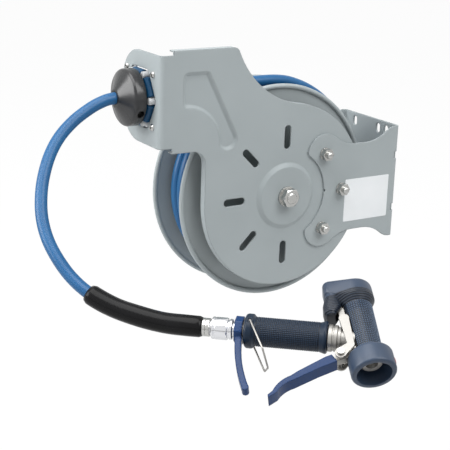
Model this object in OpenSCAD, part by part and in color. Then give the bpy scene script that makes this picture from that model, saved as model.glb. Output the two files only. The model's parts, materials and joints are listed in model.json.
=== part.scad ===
// Spring-rewind hose reel on a wall bracket, with a roller hose guide, a hose
// stop and a front-trigger spray gun. Millimetres, +Z up. The origin is on the
// wall face of the bracket, in the middle of its slots and level with the hub.

/* [Frame] */
// Hub axis to the wall face of the bracket
hub_reach = 198; // [192:1:230]
// Width over the outer faces of the two side plates
frame_w = 128; // [124:1:140]
// Sheet thickness of the side plates
sheet = 2; // [1.5:0.1:3]
// Depth of the lip drawn round each side plate
lip_d = 11; // [7:0.5:13]
// Radius of the side plates
plate_r = 132; // [126:1:138]
// Radius of the hub disc pressed out of each side plate
hub_disc_r = 48; // [40:1:56]
// Height of the pressed hub disc
hub_raise = 4; // [2.5:0.5:6]
// Number of radial slots in a side plate
vent_count = 8; // [6:1:10]
// Radius of the circle through the middle of the radial slots
vent_circle = 84.5; // [82:0.5:92]
// Length of a radial slot
vent_l = 34; // [16:1:36]
// Width of a radial slot
vent_w = 10.5; // [5:0.5:12]

/* [Guide arm] */
// Hub axis to the outer face of the guide flange
arm_reach = 203; // [198:1:215]
// Height of the top edge of the arm over the hub
arm_top = 215; // [212:1:222]
// Height of the bottom edge of the arm over the hub
arm_bottom = 78; // [74:1:82]
// Outer radius of the bend between arm and guide flange
arm_bend = 8; // [5:0.5:11]
// Depth of the recess pressed into the arm
recess_d = 3.5; // [1.5:0.5:5]
// Depth of the guide flange behind the front plate
flange_reach = 108; // [106:1:116]
// Height of the guide flange
flange_h = 124; // [118:1:126]
// Radius of the two far corners of the guide flange
flange_round = 46; // [30:1:48]

/* [Hose guide] */
// Height of the guide opening over the hub
guide_z = 147; // [145:1:149]
// Offset of the guide opening from the middle of the frame
guide_y = -7; // [-8:0.5:-6]
// Distance from the middle of the guide to the corner where two rollers meet
roller_ring = 37; // [35:0.5:38]
// Radius of a roller
roller_r = 6.2; // [5:0.1:6.6]
// Radius of a roller pin
roller_pin_r = 1.8; // [1.4:0.1:2.2]
// Radius of the lug that holds two pin ends
guide_lug_r = 4.6; // [4.2:0.1:5]
// Screw spacing across the guide flange
guide_pitch_y = 74; // [72:0.5:78]
// Screw spacing up the guide flange
guide_pitch_z = 70; // [66:0.5:74]
// Thickness of the guide's own plate
guide_t = 2.5; // [2:0.1:3]

/* [Wall bracket] */
// Sheet thickness of the bracket
bracket_t = 2.5; // [2:0.1:3.5]
// Height of the wall plate
base_h = 169; // [166:1:176]
// Distance between the corner slots across the wall plate
slot_pitch_y = 76; // [70:1:80]
// Distance between the upper and lower slots
slot_pitch_z = 144; // [138:1:146]
// Offset of the spare pair of slots from the middle
spare_slot_y = -19; // [-20:0.5:-8]
// Width of a mounting slot
slot_w = 9; // [6:0.5:10]
// Length of a mounting slot
slot_l = 14.5; // [12:0.5:16]
// Radius of the lobe round each outer cheek bolt
lobe_r = 29; // [26:0.5:30]
// Radius of the bite that the cheek leaves round the hub disc
bite_r = 66; // [62:1:68]
// Radius of a cheek bolt
bolt_r = 5; // [3:0.25:5.5]

/* [Drum] */
// Outer radius of the drum flanges
drum_r = 155; // [152:1:158]
// Width of the drum over its rolled rims
drum_w = 84; // [82:1:90]
// Offset of the drum from the middle of the frame
drum_shift = 4; // [2:0.5:5]
// Radius of the rolled rim of a drum flange
bead_r = 3.5; // [2.5:0.1:4]
// Sheet thickness of a drum flange
flange_t = 1.5; // [1:0.1:2]
// Outer radius of the drum barrel
barrel_r = 60; // [56:1:66]
// Radius of the fixed shaft
shaft_r = 10; // [9:0.25:11]
// Radius of the ratchet ring
ratchet_r = 72; // [68:1:76]
// Number of ratchet notches
ratchet_count = 8; // [4:4:8]

/* [Hose] */
// Outside diameter of the hose
hose_d = 16; // [14:0.25:16.5]
// Radius of the middle of the hose in the wound layer
wind_r = 127; // [126:0.5:128]
// Gap left between neighbouring turns
turn_gap = 0.6; // [0.5:0.1:0.8]
// Diameter of the hose stop
stop_d = 77; // [70:1:80]
// Length of the hose stop along the hose
stop_l = 29; // [26:1:32]
// Diameter of the bend sleeve at the gun
sleeve_d = 25.5; // [23:0.5:27]

/* [Spray gun] */
// Length of the grip from the wire pivot to its front collar
grip_l = 88; // [84:1:94]
// Radius of the grip
grip_r = 17.5; // [16:0.5:18.5]
// Radius of the rear collar of the grip
collar_r = 20.5; // [19.5:0.5:21]
// Radius of the metal tube inside the grip
tube_r = 13; // [12:0.5:13.5]
// Angle between the grip and the barrel
rake = 72.5; // [70:0.5:74]
// Distance along the grip from the wire pivot to the barrel axis
barrel_x = 134.5; // [133:0.5:137]
// Outside radius of the rubber cover on the barrel
cover_r = 15.8; // [15:0.1:17]
// Radius of the bell round the nozzle
bell_r = 26.5; // [26:0.5:29]
// Inside radius of the bell
bell_bore_r = 20.5; // [18:0.5:22]
// Width of the trigger
trigger_w = 17; // [14:0.5:19]
// Lever arm from the trigger pin to the stirrup pin
stirrup_arm = 15.5; // [14.5:0.5:16.5]
// Radius of the hold-open wire
wire_r = 1.1; // [0.8:0.05:1.3]
// Half the width of the hold-open wire across the grip
wire_half_w = 22; // [21.8:0.1:23]

/* [Hidden] */

// Fits
run_fit = 0.06;
seat_gap = 0.3;
cut = 1;
fine = 96;

// Colours
powder_grey = "#a5adae";
zinc = "#c9ccd0";
hose_blue = "#3f86c4";
roller_blue = "#1f4e86";
stop_black = "#3a3c3f";
navy = "#33445a";
trigger_blue = "#2b478c";
steel = "#b9bcbf";
brass = "#b99a58";

// Side plates, drum and layers across the frame
half_w = frame_w / 2;
cheek_bolt_at = [[64, 55], [96, 0], [64, -55]];
lobe_c = cheek_bolt_at[0];
front_rim = drum_shift - drum_w / 2;
rear_rim = drum_shift + drum_w / 2;
front_face = front_rim + bead_r + 1;
rear_face = rear_rim - bead_r - 1;
front_wall = front_face + flange_t;
rear_wall = rear_face - flange_t;
hub_face = half_w + hub_raise;

// Hose winding: one layer beside a clear groove where the leaving turn goes
hose_r = hose_d / 2;
turn_pitch = hose_d + turn_gap;
half_turn_w = hose_r + turn_gap;
groove_w = hose_d + 2 * turn_gap;
groove_wall = front_wall + groove_w;
dive_r = wind_r - 14.4;
dive_angle = 90;
first_turn_y = rear_wall - half_turn_w;
last_turn_y = groove_wall + half_turn_w;
wind_angle = 360 * (first_turn_y - last_turn_y) / turn_pitch;
wind_start = 20;
core_r = wind_r - hose_r - turn_gap;
groove_r = dive_r - hose_r - turn_gap;
pocket_step = 0.2;
pocket_end = 1;

// Hose guide
guide_lug_gap = 0.4;
roller_l = roller_ring - 2 * guide_lug_r - 2 * guide_lug_gap;
guide_x = -arm_reach - guide_t / 2;
guide_open = roller_ring + roller_r + 2.6;
stop_back = guide_x - roller_r - 1;

// Barrel of the gun, in the gun's own frame: x forward along the grip, z away from the trigger
barrel_dir = [cos(rake), -sin(rake)];
barrel_side = [-sin(rake), -cos(rake)];
barrel_bore_r = 8;
barrel_tube_r = 13;
cover_gap = 0.2;
bulb_back = -80;
bulb_front = -49;
bell_back = 19.5;
bell_front = 48.5;
fulcrum_at = [18, 16];
ear_room = 2;
lever_angle = rake - 32.4;
lever_lean = 1.5;
ear_t = 3;
ear_r = 6;
lever_t = 8;
ear_y = lever_t / 2 + 0.4;
elbow_r = 10.6;
elbow_bore_r = 6.5;
cover_open = 16.5;
crosshead_room = 11.2;
cover_taper = 1.8;
plate_in = 11;
plate_t = 2;
crosshead_at = [19.7, -28.5];
crosshead_w = 7;
stem_r = 4;
pin_r = 2.5;
gun_at = [-412, -317.6, -75];
gun_turn = [-61, -1, -42.5];
ferrule_x = -57;
sleeve_start = 13;

// Route of the hose from the stop to the gun, chosen by eye
route = [[-444, -7, 146.5], [-460, -7, 142.5], [-478, -8, 134.5], [-500, -11.5, 122], [-522, -18, 105],
    [-540, -28, 85],
    [-555, -42, 61], [-565, -57, 38], [-571, -74, 16], [-572, -93, -5], [-568, -115, -25],
    [-560, -138, -43], [-548, -163, -57], [-530, -190, -68], [-510, -216, -74], [-489, -243, -77]];

// Points and lists
function unit(v) = v / norm(v);
function polar(r, a) = r * [cos(a), sin(a)];
function arc(c, r, a0, a1, n = 10) = [for (i = [0:n]) c + polar(r, a0 + (a1 - a0) * i / n)];
function angle_of(v) = atan2(v.y, v.x);
function flipped(p) = [for (i = [len(p) - 2:-1:1]) [p[i].x, -p[i].y]];
// The point at r1 from c1 and r2 from c2 that lies to the left of the way from c1 to c2
function meet(c1, r1, c2, r2) =
    let (d = c2 - c1, l = norm(d), a = (r1 * r1 - r2 * r2 + l * l) / (2 * l), h = sqrt(r1 * r1 - a * a))
    c1 + a * d / l + h * [-d.y, d.x] / l;
// Smooth curve through a list of points, with steps points for each span
function curve(p, steps) = [for (i = [0:len(p) - 2], s = [0:steps - 1])
    let (a = p[max(i - 1, 0)], b = p[i], c = p[i + 1], d = p[min(i + 2, len(p) - 1)], t = s / steps)
    b + t / 2 * (c - a + t * (2 * a - 5 * b + 4 * c - d + t * (3 * (b - c) + d - a)))];
// Directions along a path, and one side direction carried along it without twist
function along(p) = [for (i = [0:len(p) - 1]) unit(p[min(i + 1, len(p) - 1)] - p[max(i - 1, 0)])];
function carried(t, v, i = 0) =
    i == len(t) ? [] : let (w = unit(v - (v * t[i]) * t[i])) concat([w], carried(t, w, i + 1));
function hub_point(a, r, y) = [r * cos(a) - hub_reach, y, r * sin(a)];

// A tube of radius r along a path
module tube(path, r, sides, first = [0, 1, 0], dirs = []) {
    t = len(dirs) > 0 ? dirs : along(path);
    v = carried(t, first);
    n = len(path);
    rings = [for (i = [0:n - 1], j = [0:sides - 1])
        path[i] + r * (cos(360 * j / sides) * v[i] + sin(360 * j / sides) * cross(t[i], v[i]))];
    walls = [for (i = [0:n - 2], j = [0:sides - 1])
        let (k = (j + 1) % sides, a = i * sides, b = a + sides)
        each [[a + j, b + k, b + j], [a + j, a + k, b + k]]];
    caps = [for (j = [1:sides - 2])
        each [[0, j + 1, j], [(n - 1) * sides, (n - 1) * sides + j, (n - 1) * sides + j + 1]]];
    polyhedron(rings, concat(walls, caps), convexity = 6);
}

// Placing
module at_hub() { translate([-hub_reach, 0, 0]) children(); }
module at_gun() { translate(gun_at) rotate(gun_turn) children(); }
// Extrude an outline drawn in X and Z from y0 over a depth t
module upright(y0, t) { translate([0, y0 + t, 0]) rotate([90, 0, 0]) linear_extrude(t) children(); }
// Extrude an outline drawn in Y and Z from x0 over a depth t
module sideways(x0, t) { translate([x0, 0, 0]) rotate([90, 0, 90]) linear_extrude(t) children(); }
// Revolve a profile of radius and Y about the Y axis, or of radius and X about the X axis
module about_y() { rotate([-90, 0, 0]) rotate_extrude($fn = fine) children(); }
module about_x() { rotate([0, 90, 0]) rotate_extrude($fn = fine) children(); }
module rod_y(r, y0, y1, n = fine) {
    translate([0, y0, 0]) rotate([-90, 0, 0]) cylinder(r = r, h = y1 - y0, $fn = n);
}
module rod_x(r, x0, x1, n = fine) {
    translate([x0, 0, 0]) rotate([0, 90, 0]) cylinder(r = r, h = x1 - x0, $fn = n);
}
module spot(p) { translate([p.x, 0, p.y]) children(); }
module slot2d(l, w) {
    square([l - w, w], center = true);
    for (s = [-1, 1]) translate([s * (l - w) / 2, 0]) circle(d = w, $fn = 48);
}
// The barrel's own frame: X along side, Z from nozzle to bulb, origin where barrel and grip cross
module at_barrel() { translate([barrel_x, 0, 0]) rotate([0, rake - 90, 0]) children(); }
function barrel_point(p) = [barrel_x, 0] + p.x * barrel_side + p.y * barrel_dir;

// Wall bracket: one bent sheet with a wall plate and two lobed cheeks
bracket_bend = 5;
dip_r = 58;
dip_z = 65;
dip_x = 138;
shoulder_r = 22;
cusp_r = 6;
function cheek_half() = let (
    dip_l = lobe_c.x + sqrt(pow(lobe_r + dip_r, 2) - pow(dip_z + dip_r - lobe_c.y, 2)),
    left_c = [dip_l, dip_z + dip_r],
    right_c = [dip_x, dip_z + dip_r],
    sh_z = base_h / 2 - shoulder_r,
    sh_c = [dip_x + sqrt(pow(dip_r + shoulder_r, 2) - pow(right_c.y - sh_z, 2)), sh_z],
    turn = angle_of(right_c - sh_c),
    cusp_c = meet([0, 0], bite_r + cusp_r, lobe_c, lobe_r - cusp_r))
    concat([[hub_reach, 0], [hub_reach, base_h / 2]],
        arc(sh_c, shoulder_r, 90, turn, 4),
        arc(right_c, dip_r, turn - 180 + 0.5, -90, 5),
        arc(left_c, dip_r, -90, angle_of(lobe_c - left_c) + 0.5, 5),
        arc(lobe_c, lobe_r, angle_of(left_c - lobe_c), angle_of(cusp_c - lobe_c), 10),
        arc(cusp_c, cusp_r, angle_of(cusp_c - lobe_c) + 1, angle_of(-cusp_c) + 360, 5),
        arc([0, 0], bite_r, angle_of(cusp_c) - 0.5, 0, 6));

module bracket_section() {
    outer = half_w + bracket_t;
    polygon(concat([[0, -outer]],
        arc([hub_reach - bracket_bend, -outer + bracket_bend], bracket_bend, -90, 0, 6),
        arc([hub_reach - bracket_bend, outer - bracket_bend], bracket_bend, 0, 90, 6),
        [[0, outer], [0, half_w]],
        arc([hub_reach - bracket_bend, half_w - bracket_bend + bracket_t], bracket_bend - bracket_t, 90,
            0, 6),
        arc([hub_reach - bracket_bend, -half_w + bracket_bend - bracket_t], bracket_bend - bracket_t, 0,
            -90, 6),
        [[0, -half_w]]));
}

module wall_bracket() {
    outer = half_w + bracket_t;
    relief_z = 40;
    relief = 11;
    color(powder_grey) at_hub() difference() {
        intersection() {
            translate([0, 0, -base_h / 2]) linear_extrude(base_h) bracket_section();
            upright(-outer, 2 * outer) polygon(concat(cheek_half(), flipped(cheek_half())));
        }
        for (s = [-1, 1], y = [-slot_pitch_y / 2, slot_pitch_y / 2, spare_slot_y])
            translate([0, y, s * slot_pitch_z / 2])
                sideways(hub_reach - bracket_t - cut, bracket_t + 2 * cut) rotate(90) slot2d(slot_l,
                    slot_w);
        for (p = cheek_bolt_at) spot(p) rod_y(bolt_r + seat_gap, -outer - cut, outer + cut);
        for (s = [-1, 1], t = [-1, 1])
            translate([hub_reach - bracket_t / 2, t * outer, s * relief_z]) cube([relief, relief,
                relief], center = true);
        // The small round notch in the middle of each bite
        spot([bite_r, 0]) rod_y(2.5, -outer - cut, outer + cut);
    }
}

// Side plates
arm_end = arm_reach - arm_bend;
toe_r = 20;
blend_r = 130;
blend_at = 82;
arm_corner_r = 10;
function arm_outline(i, reach) = let (
    toe_c = [-plate_r - toe_r, arm_bottom - toe_r],
    blend_c = polar(plate_r + blend_r, blend_at),
    corner_z = arm_top - arm_corner_r,
    corner_c = [blend_c.x - sqrt(pow(blend_r + arm_corner_r, 2) - pow(corner_z - blend_c.y, 2)),
        corner_z],
    lean = angle_of(blend_c - corner_c))
    concat([[-reach, arm_bottom + i]],
        arc(toe_c, toe_r + i, 90, 0, 8),
        [[-plate_r + i, 0], [0, 0]],
        arc(blend_c, blend_r + i, blend_at - 180, lean - 180, 16),
        arc(corner_c, arm_corner_r - i, lean, 90, 6),
        [[-reach, arm_top - i]]);

// The recess narrows to a rounded toe between the left edge and the sloping edge
recess_corner_r = 9;
function recess_outline(i) = let (
    r = recess_corner_r - i, top = 187 - i, left = -170 + i, waist_c = [-164, 85], waist_r = 51 + i,
    tip_c = [-98, 90], tip_r = 17 - i, lean = 26)
    concat(arc([left + r, top - r], r, 180, 90, 5),
        arc([-134, top - r], r, 90, lean, 4),
        arc(tip_c, tip_r, lean, -152, 10),
        arc(waist_c, waist_r, 5, 84, 8),
        arc([left + r, 145], r, 270, 180, 5));

module plate_outline(i, reach) {
    circle(r = plate_r - i, $fn = fine);
    polygon(arm_outline(i, reach));
}
module vents(y0, t) {
    upright(y0, t) for (k = [0:vent_count - 1])
        rotate(90 + 360 * k / vent_count) translate([vent_circle, 0]) slot2d(vent_l, vent_w);
}
// The dished hub of the front plate, with its hole
module hub_dish(hole_r) {
    slope = 6;
    y = -half_w;
    about_y() polygon([[hole_r, y - hub_raise], [hub_disc_r - slope, y - hub_raise], [hub_disc_r, y],
        [hub_disc_r + cut, y], [hub_disc_r + cut, y + sheet], [hub_disc_r - sheet / 2, y + sheet],
        [hub_disc_r - slope - sheet / 2, y + sheet - hub_raise], [hole_r, y + sheet - hub_raise]]);
}
module cheek_holes() {
    for (p = cheek_bolt_at) spot(p) rod_y(bolt_r + seat_gap, -half_w - cut, -half_w + sheet + cut);
}

module guide_opening(grow, n = 8) {
    corner = 8;
    pts = [for (k = [0:5]) each arc(polar(guide_open + grow - corner / cos(30), 60 * k), corner,
        60 * k - 30, 60 * k + 30, n)];
    translate([guide_y, guide_z]) polygon(pts);
}
module guide_screw_spots() {
    for (a = [-1, 1], b = [-1, 1])
        translate([0, guide_y + a * guide_pitch_y / 2, guide_z + b * guide_pitch_z / 2]) children();
}
screw_r = 2.5;

module front_plate() {
    y = -half_w;
    z0 = guide_z - flange_h / 2;
    z1 = guide_z + flange_h / 2;
    far = flange_reach + y;
    color(powder_grey) at_hub() {
        difference() {
            union() {
                difference() {
                    upright(y, lip_d) plate_outline(0, arm_end);
                    upright(y + sheet, lip_d) plate_outline(sheet, arm_end + cut);
                    rod_y(hub_disc_r, y - cut, y + sheet + cut);
                }
                upright(y, recess_d + sheet) polygon(recess_outline(0));
            }
            upright(y - cut, recess_d + cut) polygon(recess_outline(sheet));
            vents(y - cut, sheet + 2 * cut);
            cheek_holes();
            // Reliefs where the lips of the arm end at the bend
            translate([-arm_end - cut, y - cut, z1]) cube([12, lip_d + 2 * cut, arm_top - z1 + cut]);
            translate([-arm_end - cut, y - cut, arm_bottom - cut]) cube([12, lip_d + 2 * cut,
                z0 - arm_bottom + cut]);
        }
        hub_dish(shaft_r - 2 + run_fit);
        translate([-arm_end, y + arm_bend, z0]) rotate(180)
            rotate_extrude(angle = 90, $fn = fine) translate([arm_bend - sheet, 0]) square([sheet,
                flange_h]);
        difference() {
            sideways(-arm_reach, sheet) polygon(concat([[y + arm_bend, z1], [y + arm_bend, z0]],
                arc([far - flange_round, z0 + flange_round], flange_round, -90, 0, 12),
                arc([far - flange_round, z1 - flange_round], flange_round, 0, 90, 12)));
            sideways(-arm_reach - cut, sheet + 2 * cut) guide_opening(0);
            guide_screw_spots() rod_x(screw_r + seat_gap, -arm_reach - cut, -arm_reach + sheet + cut);
        }
    }
}

module rear_plate() {
    color(powder_grey) at_hub() mirror([0, 1, 0]) {
        difference() {
            upright(-half_w, lip_d) circle(r = plate_r, $fn = fine);
            upright(-half_w + sheet, lip_d) circle(r = plate_r - sheet, $fn = fine);
            rod_y(hub_disc_r, -half_w - cut, -half_w + sheet + cut);
            vents(-half_w - cut, sheet + 2 * cut);
            cheek_holes();
            spot(pawl_at) rod_y(pawl_screw_r + run_fit, -half_w - cut, -half_w + sheet + cut);
        }
        hub_dish(shaft_r + run_fit);
    }
}

// Fasteners between the side plates and the cheeks
washer_t = 2;
nut_h = 8;
nut_r = 9.3;
bolt_head_h = 5;
bolt_tip = 6;
bolt_dome = 2.8;
module each_cheek_bolt() {
    at_hub() for (s = [0, 1], p = cheek_bolt_at) mirror([0, s, 0]) spot(p) children();
}
module cheek_bolts() {
    inner = -half_w + sheet;
    end = -half_w - bracket_t - washer_t - nut_h - bolt_tip;
    color(steel) each_cheek_bolt() {
        about_y() polygon(concat([[0, end]], arc([bolt_r - bolt_dome, end + bolt_dome], bolt_dome, -90,
            0, 5), [[bolt_r, inner], [0, inner]]));
        rod_y(nut_r, inner, inner + bolt_head_h, 6);
    }
}
module cheek_washers() {
    y = -half_w - bracket_t;
    color(steel) each_cheek_bolt() difference() {
        rod_y(nut_r - 0.3, y - washer_t, y);
        rod_y(bolt_r + seat_gap, y - washer_t - cut, y + cut);
        // The split of the spring washer
        translate([bolt_r, y - washer_t - cut, -0.6]) cube([nut_r, washer_t + 2 * cut, 1.2]);
    }
}
module cheek_nuts() {
    y = -half_w - bracket_t - washer_t;
    color(steel) each_cheek_bolt() difference() {
        rod_y(nut_r, y - nut_h, y, 6);
        rod_y(bolt_r + run_fit, y - nut_h - cut, y + cut);
    }
}

// Shaft and what sits on it
stud_r = shaft_r - 2;
shaft_nut_h = 11;
shaft_washer_t = 3;
inlet_seat = hub_face;
inlet_bore_r = 5;
module main_shaft() {
    shoulder = -hub_face + sheet;
    tip = -hub_face - shaft_washer_t - shaft_nut_h - 2;
    color(steel) at_hub() difference() {
        union() {
            rod_y(stud_r, tip + 1.5, shoulder);
            about_y() polygon([[0, tip], [stud_r - 1.5, tip], [stud_r, tip + 1.5], [0, tip + 1.5]]);
            rod_y(shaft_r, shoulder, inlet_seat + 12);
        }
        rod_y(inlet_bore_r, seal_mid, inlet_seat + 12 + cut);
        translate([0, seal_mid + 3, 0]) rod_x(inlet_bore_r - 2, -shaft_r - cut, shaft_r + cut);
        for (y = seal_y) about_y() translate([shaft_r - 2 * seal_r - 0.05, y - seal_r - 0.1])
            square([2 * seal_r + cut, 2 * seal_r + 0.2]);
    }
}
module shaft_washer() {
    color(steel) at_hub() difference() {
        rod_y(14.5, -hub_face - shaft_washer_t, -hub_face);
        rod_y(stud_r + seat_gap, -hub_face - shaft_washer_t - cut, -hub_face + cut);
    }
}
module shaft_nut() {
    y = -hub_face - shaft_washer_t;
    color(steel) at_hub() difference() {
        intersection() {
            rod_y(14, y - shaft_nut_h, y, 6);
            about_y() polygon([[0, y - shaft_nut_h], [11.5, y - shaft_nut_h], [14.2,
                y - shaft_nut_h + 2], [14.2, y], [0, y]]);
        }
        rod_y(stud_r + run_fit, y - shaft_nut_h - cut, y + cut);
    }
}
module spring_arbor() {
    color(steel) at_hub() difference() {
        rod_y(arbor_r, spring_y0, spring_y1);
        rod_y(shaft_r, spring_y0 - cut, spring_y1 + cut);
    }
}
// The inlet elbow screws on the rear end of the shaft, with its threaded port facing down
inlet_r = 14;
inlet_port_r = 7.6;
inlet_drop = 34;
module inlet_elbow() {
    mid = inlet_seat + 20;
    color(brass) at_hub() difference() {
        union() {
            rod_y(inlet_r, inlet_seat, mid);
            translate([0, mid, 0]) sphere(r = inlet_r + 1.5, $fn = fine);
            translate([0, mid, -inlet_drop]) cylinder(r = inlet_r - 0.5, h = inlet_drop, $fn = fine);
            translate([0, mid, -inlet_drop]) cylinder(r = inlet_r + 2.5, h = 12, $fn = 6);
        }
        rod_y(shaft_r, inlet_seat - cut, inlet_seat + 12);
        rod_y(inlet_bore_r, inlet_seat, mid + 2);
        translate([0, mid, -inlet_drop]) cylinder(r = inlet_bore_r + 0.8, h = inlet_drop + 2, $fn = fine);
        translate([0, mid, -inlet_drop - cut]) cylinder(r = inlet_port_r, h = 16 + cut, $fn = fine);
    }
}

// Ratchet: a notched ring on the drum and a pawl on the rear plate
ratchet_t = 4;
notch_d = 8;
pawl_screw_r = 4;
pawl_at = [-38, -ratchet_r - 20];
pawl_lift = 1.5;
pawl_y = rear_face + 0.4;
pawl_t = ratchet_t - 0.8;
module ratchet_ring() {
    half = 7;
    color(steel) at_hub() upright(rear_face, ratchet_t) difference() {
        circle(r = ratchet_r, $fn = fine);
        circle(r = ratchet_r - 22, $fn = fine);
        for (k = [0:ratchet_count - 1]) rotate(-90 + 360 * k / ratchet_count)
            polygon([[ratchet_r - notch_d, -half], [ratchet_r - notch_d, half - 1],
                [ratchet_r + 2, half + 2], [ratchet_r + 2, -half - 8]]);
    }
}
module pawl_post() {
    shoulder = 7;
    inner = half_w - sheet;
    color(steel) at_hub() spot(pawl_at) {
        rod_y(pawl_screw_r, pawl_y - 0.1, half_w + 6);
        rod_y(shoulder, pawl_y + pawl_t + 0.1, inner);
        rod_y(shoulder, half_w, half_w + 5, 6);
    }
}
module ratchet_pawl() {
    eye = 8;
    tip = [-pawl_at.x, ratchet_r + 20 - ratchet_r - pawl_lift];
    color(zinc) at_hub() spot(pawl_at) upright(pawl_y, pawl_t) difference() {
        polygon(concat(arc([0, 0], eye, 108, 296, 16), [tip + [5, -7], tip + [4, 0], tip + [-4, 0]]));
        circle(r = pawl_screw_r + run_fit, $fn = fine);
    }
}

// Drum
bush_r = 15;
bush_flange_r = 20;
module drum_flange(outside, inside, bead_y) {
    about_y() difference() {
        union() {
            translate([drum_r - bead_r, bead_y]) circle(r = bead_r, $fn = 48);
            translate([0, min(outside, inside)]) square([drum_r - bead_r, flange_t]);
            translate([0, min(outside, inside)]) square([bush_flange_r, flange_t]);
        }
        translate([-cut, min(outside, inside) - cut]) square([bush_r + cut, flange_t + 2 * cut]);
    }
}
module front_flange() { color(powder_grey) at_hub() drum_flange(front_face, front_wall,
    front_rim + bead_r); }
module rear_flange() { color(powder_grey) at_hub() drum_flange(rear_face, rear_wall, rear_rim - bead_r); }
module drum_barrel() {
    wall = 2;
    color(powder_grey) at_hub() difference() {
        rod_y(barrel_r, front_wall, rear_wall);
        rod_y(barrel_r - wall, front_wall - cut, rear_wall + cut);
        translate([0, seal_mid, 0]) rod_x(outlet_r + seat_gap, 0, barrel_r + cut);
    }
}
module bush(y, s) {
    collar_t = 2.5;
    inside = 9;
    at_hub() translate([0, y, 0]) mirror([0, s < 0 ? 1 : 0, 0]) difference() {
        union() {
            rod_y(bush_r, -inside, 0);
            rod_y(bush_flange_r, 0, collar_t);
        }
        rod_y(shaft_r + run_fit, -inside - cut, collar_t + cut);
    }
}
module front_bush() { color(brass) bush(front_face, -1); }
module rear_bush() { color(brass) bush(rear_face, 1); }

// Power spring: a flat strip wound between the arbor and the barrel
spring_y0 = front_wall + 12;
spring_y1 = spring_y0 + 24;
spring_turns = 7;
spring_strip = 1.2;
arbor_r = shaft_r + 4;
function spiral(r0, r1, n, o) = [for (i = [0:n]) polar(r0 + (r1 - r0) * i / n + o,
    360 * spring_turns * i / n)];
module power_spring() {
    steps = spring_turns * 24;
    r0 = arbor_r + 2 * seat_gap;
    r1 = barrel_r - 2 - seat_gap - spring_strip;
    inner = spiral(r0, r1, steps, 0);
    outer = spiral(r0, r1, steps, spring_strip);
    color(steel) at_hub() upright(spring_y0, spring_y1 - spring_y0)
        polygon(concat(inner, [for (i = [steps:-1:0]) outer[i]]));
}

// Water way from the shaft to the hose
seal_r = 0.8;
seal_mid = rear_wall - 18;
seal_y = [seal_mid - 7, seal_mid + 7];
swivel_r = 20;
outlet_r = 8;
module swivel_body() {
    color(brass) at_hub() difference() {
        rod_y(swivel_r, seal_mid - 11, seal_mid + 10);
        rod_y(shaft_r + run_fit, seal_mid - 11 - cut, seal_mid + 10 + cut);
        translate([0, seal_mid, 0]) rod_x(outlet_r - 3, 0, swivel_r + cut);
        translate([0, seal_mid, 0]) rod_x(outlet_r, swivel_r - 5, swivel_r + cut);
    }
}
module swivel_seals() {
    color("#222222") at_hub() for (y = seal_y) about_y()
        translate([shaft_r - seal_r, y]) circle(r = seal_r, $fn = 32);
}
module hose_outlet() {
    color(brass) at_hub() translate([0, seal_mid, 0]) difference() {
        rod_x(outlet_r, swivel_r - 5, barrel_r - 1);
        rod_x(outlet_r - 3, swivel_r - 5 - cut, barrel_r + cut);
    }
}

// Wound hose: plain inner layers with pockets for the two ends of the outer layer
module turn_pocket(y, a0, a1) {
    rotate([-90, 0, 0]) rotate([0, 0, -a1]) rotate_extrude(angle = a1 - a0, $fn = fine)
        translate([groove_r + pocket_step, y - half_turn_w - cut])
            square([core_r - groove_r - pocket_step + cut, 2 * half_turn_w + cut]);
}
wind_end = wind_start + wind_angle;
module hose_core() {
    color(hose_blue) at_hub() difference() {
        about_y() polygon([[barrel_r, front_wall], [groove_r, front_wall], [groove_r, groove_wall],
            [core_r, groove_wall], [core_r, rear_wall], [barrel_r, rear_wall]]);
        turn_pocket(first_turn_y + cut, wind_start - dive_angle - pocket_end, wind_start + 4);
        turn_pocket(last_turn_y, wind_end - 4, wind_end + dive_angle + pocket_end);
    }
}
// Both ends dive under the layer in a quarter turn, and end straight and square in their pockets
function ease(t) = t * t * (3 - 2 * t);
straight_angle = 360 * hose_d / (2 * PI * dive_r);
function wind_radius(a) =
    let (before = wind_start - a, after = a - wind_end, d = max(before, after)
        / (dive_angle - straight_angle))
    d <= 0 ? wind_r : wind_r + (dive_r - wind_r) * ease(min(d, 1));
function wind_y(a) = first_turn_y - turn_pitch * min(max(a - wind_start, 0), wind_angle) / 360;
wind_steps = ceil((wind_angle + 2 * dive_angle) / 15);
winding = [for (i = [0:wind_steps])
    let (a = wind_start - dive_angle + (wind_angle + 2 * dive_angle) * i / wind_steps)
    hub_point(a, wind_radius(a), wind_y(a))];
// Least gap between the winding's own turns, on points more than half a turn apart
self_gap = min([for (i = [0:wind_steps], j = [i + 12:1:wind_steps]) norm(winding[i] - winding[j])])
    - hose_d;
echo(least_gap_between_turns = self_gap);
module hose_winding() { color(hose_blue) tube(winding, hose_r, 6); }

// The leaving turn rises out of the groove, crosses the layer and runs through the guide
leave_r = 154.6;
leave_y = -4;
leave_start = -230;
leave_cross = -20;
leave_step = 15;
function leave_radius(a) = a > 50 ? leave_r
    : a > leave_cross ? leave_r + (wind_r + hose_d + 2 - leave_r) * ease((50 - a) / (50 - leave_cross))
    : wind_r + hose_d + 2 + (dive_r - wind_r - hose_d - 2) * (leave_cross - a)
        / (leave_cross - leave_start);
function leave_side(a) = a > 60 ? leave_y
    : leave_y + (front_wall + groove_w / 2 - leave_y) * ease(min((60 - a) / (60 - leave_cross), 1));
leaving = [for (a = [leave_start:leave_step:90]) hub_point(a, leave_radius(a), leave_side(a))];
to_guide = [for (x = [-60, -130, -170])
    [x - hub_reach, leave_y + (guide_y - leave_y) * -x / arm_reach, leave_r + (guide_z - leave_r)
        * pow(-x / arm_reach, 1.5)]];
stop_front = [stop_back - stop_l - hub_reach, guide_y, guide_z];
in_guide = [[-arm_reach - hub_reach, guide_y, guide_z], stop_front];
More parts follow.
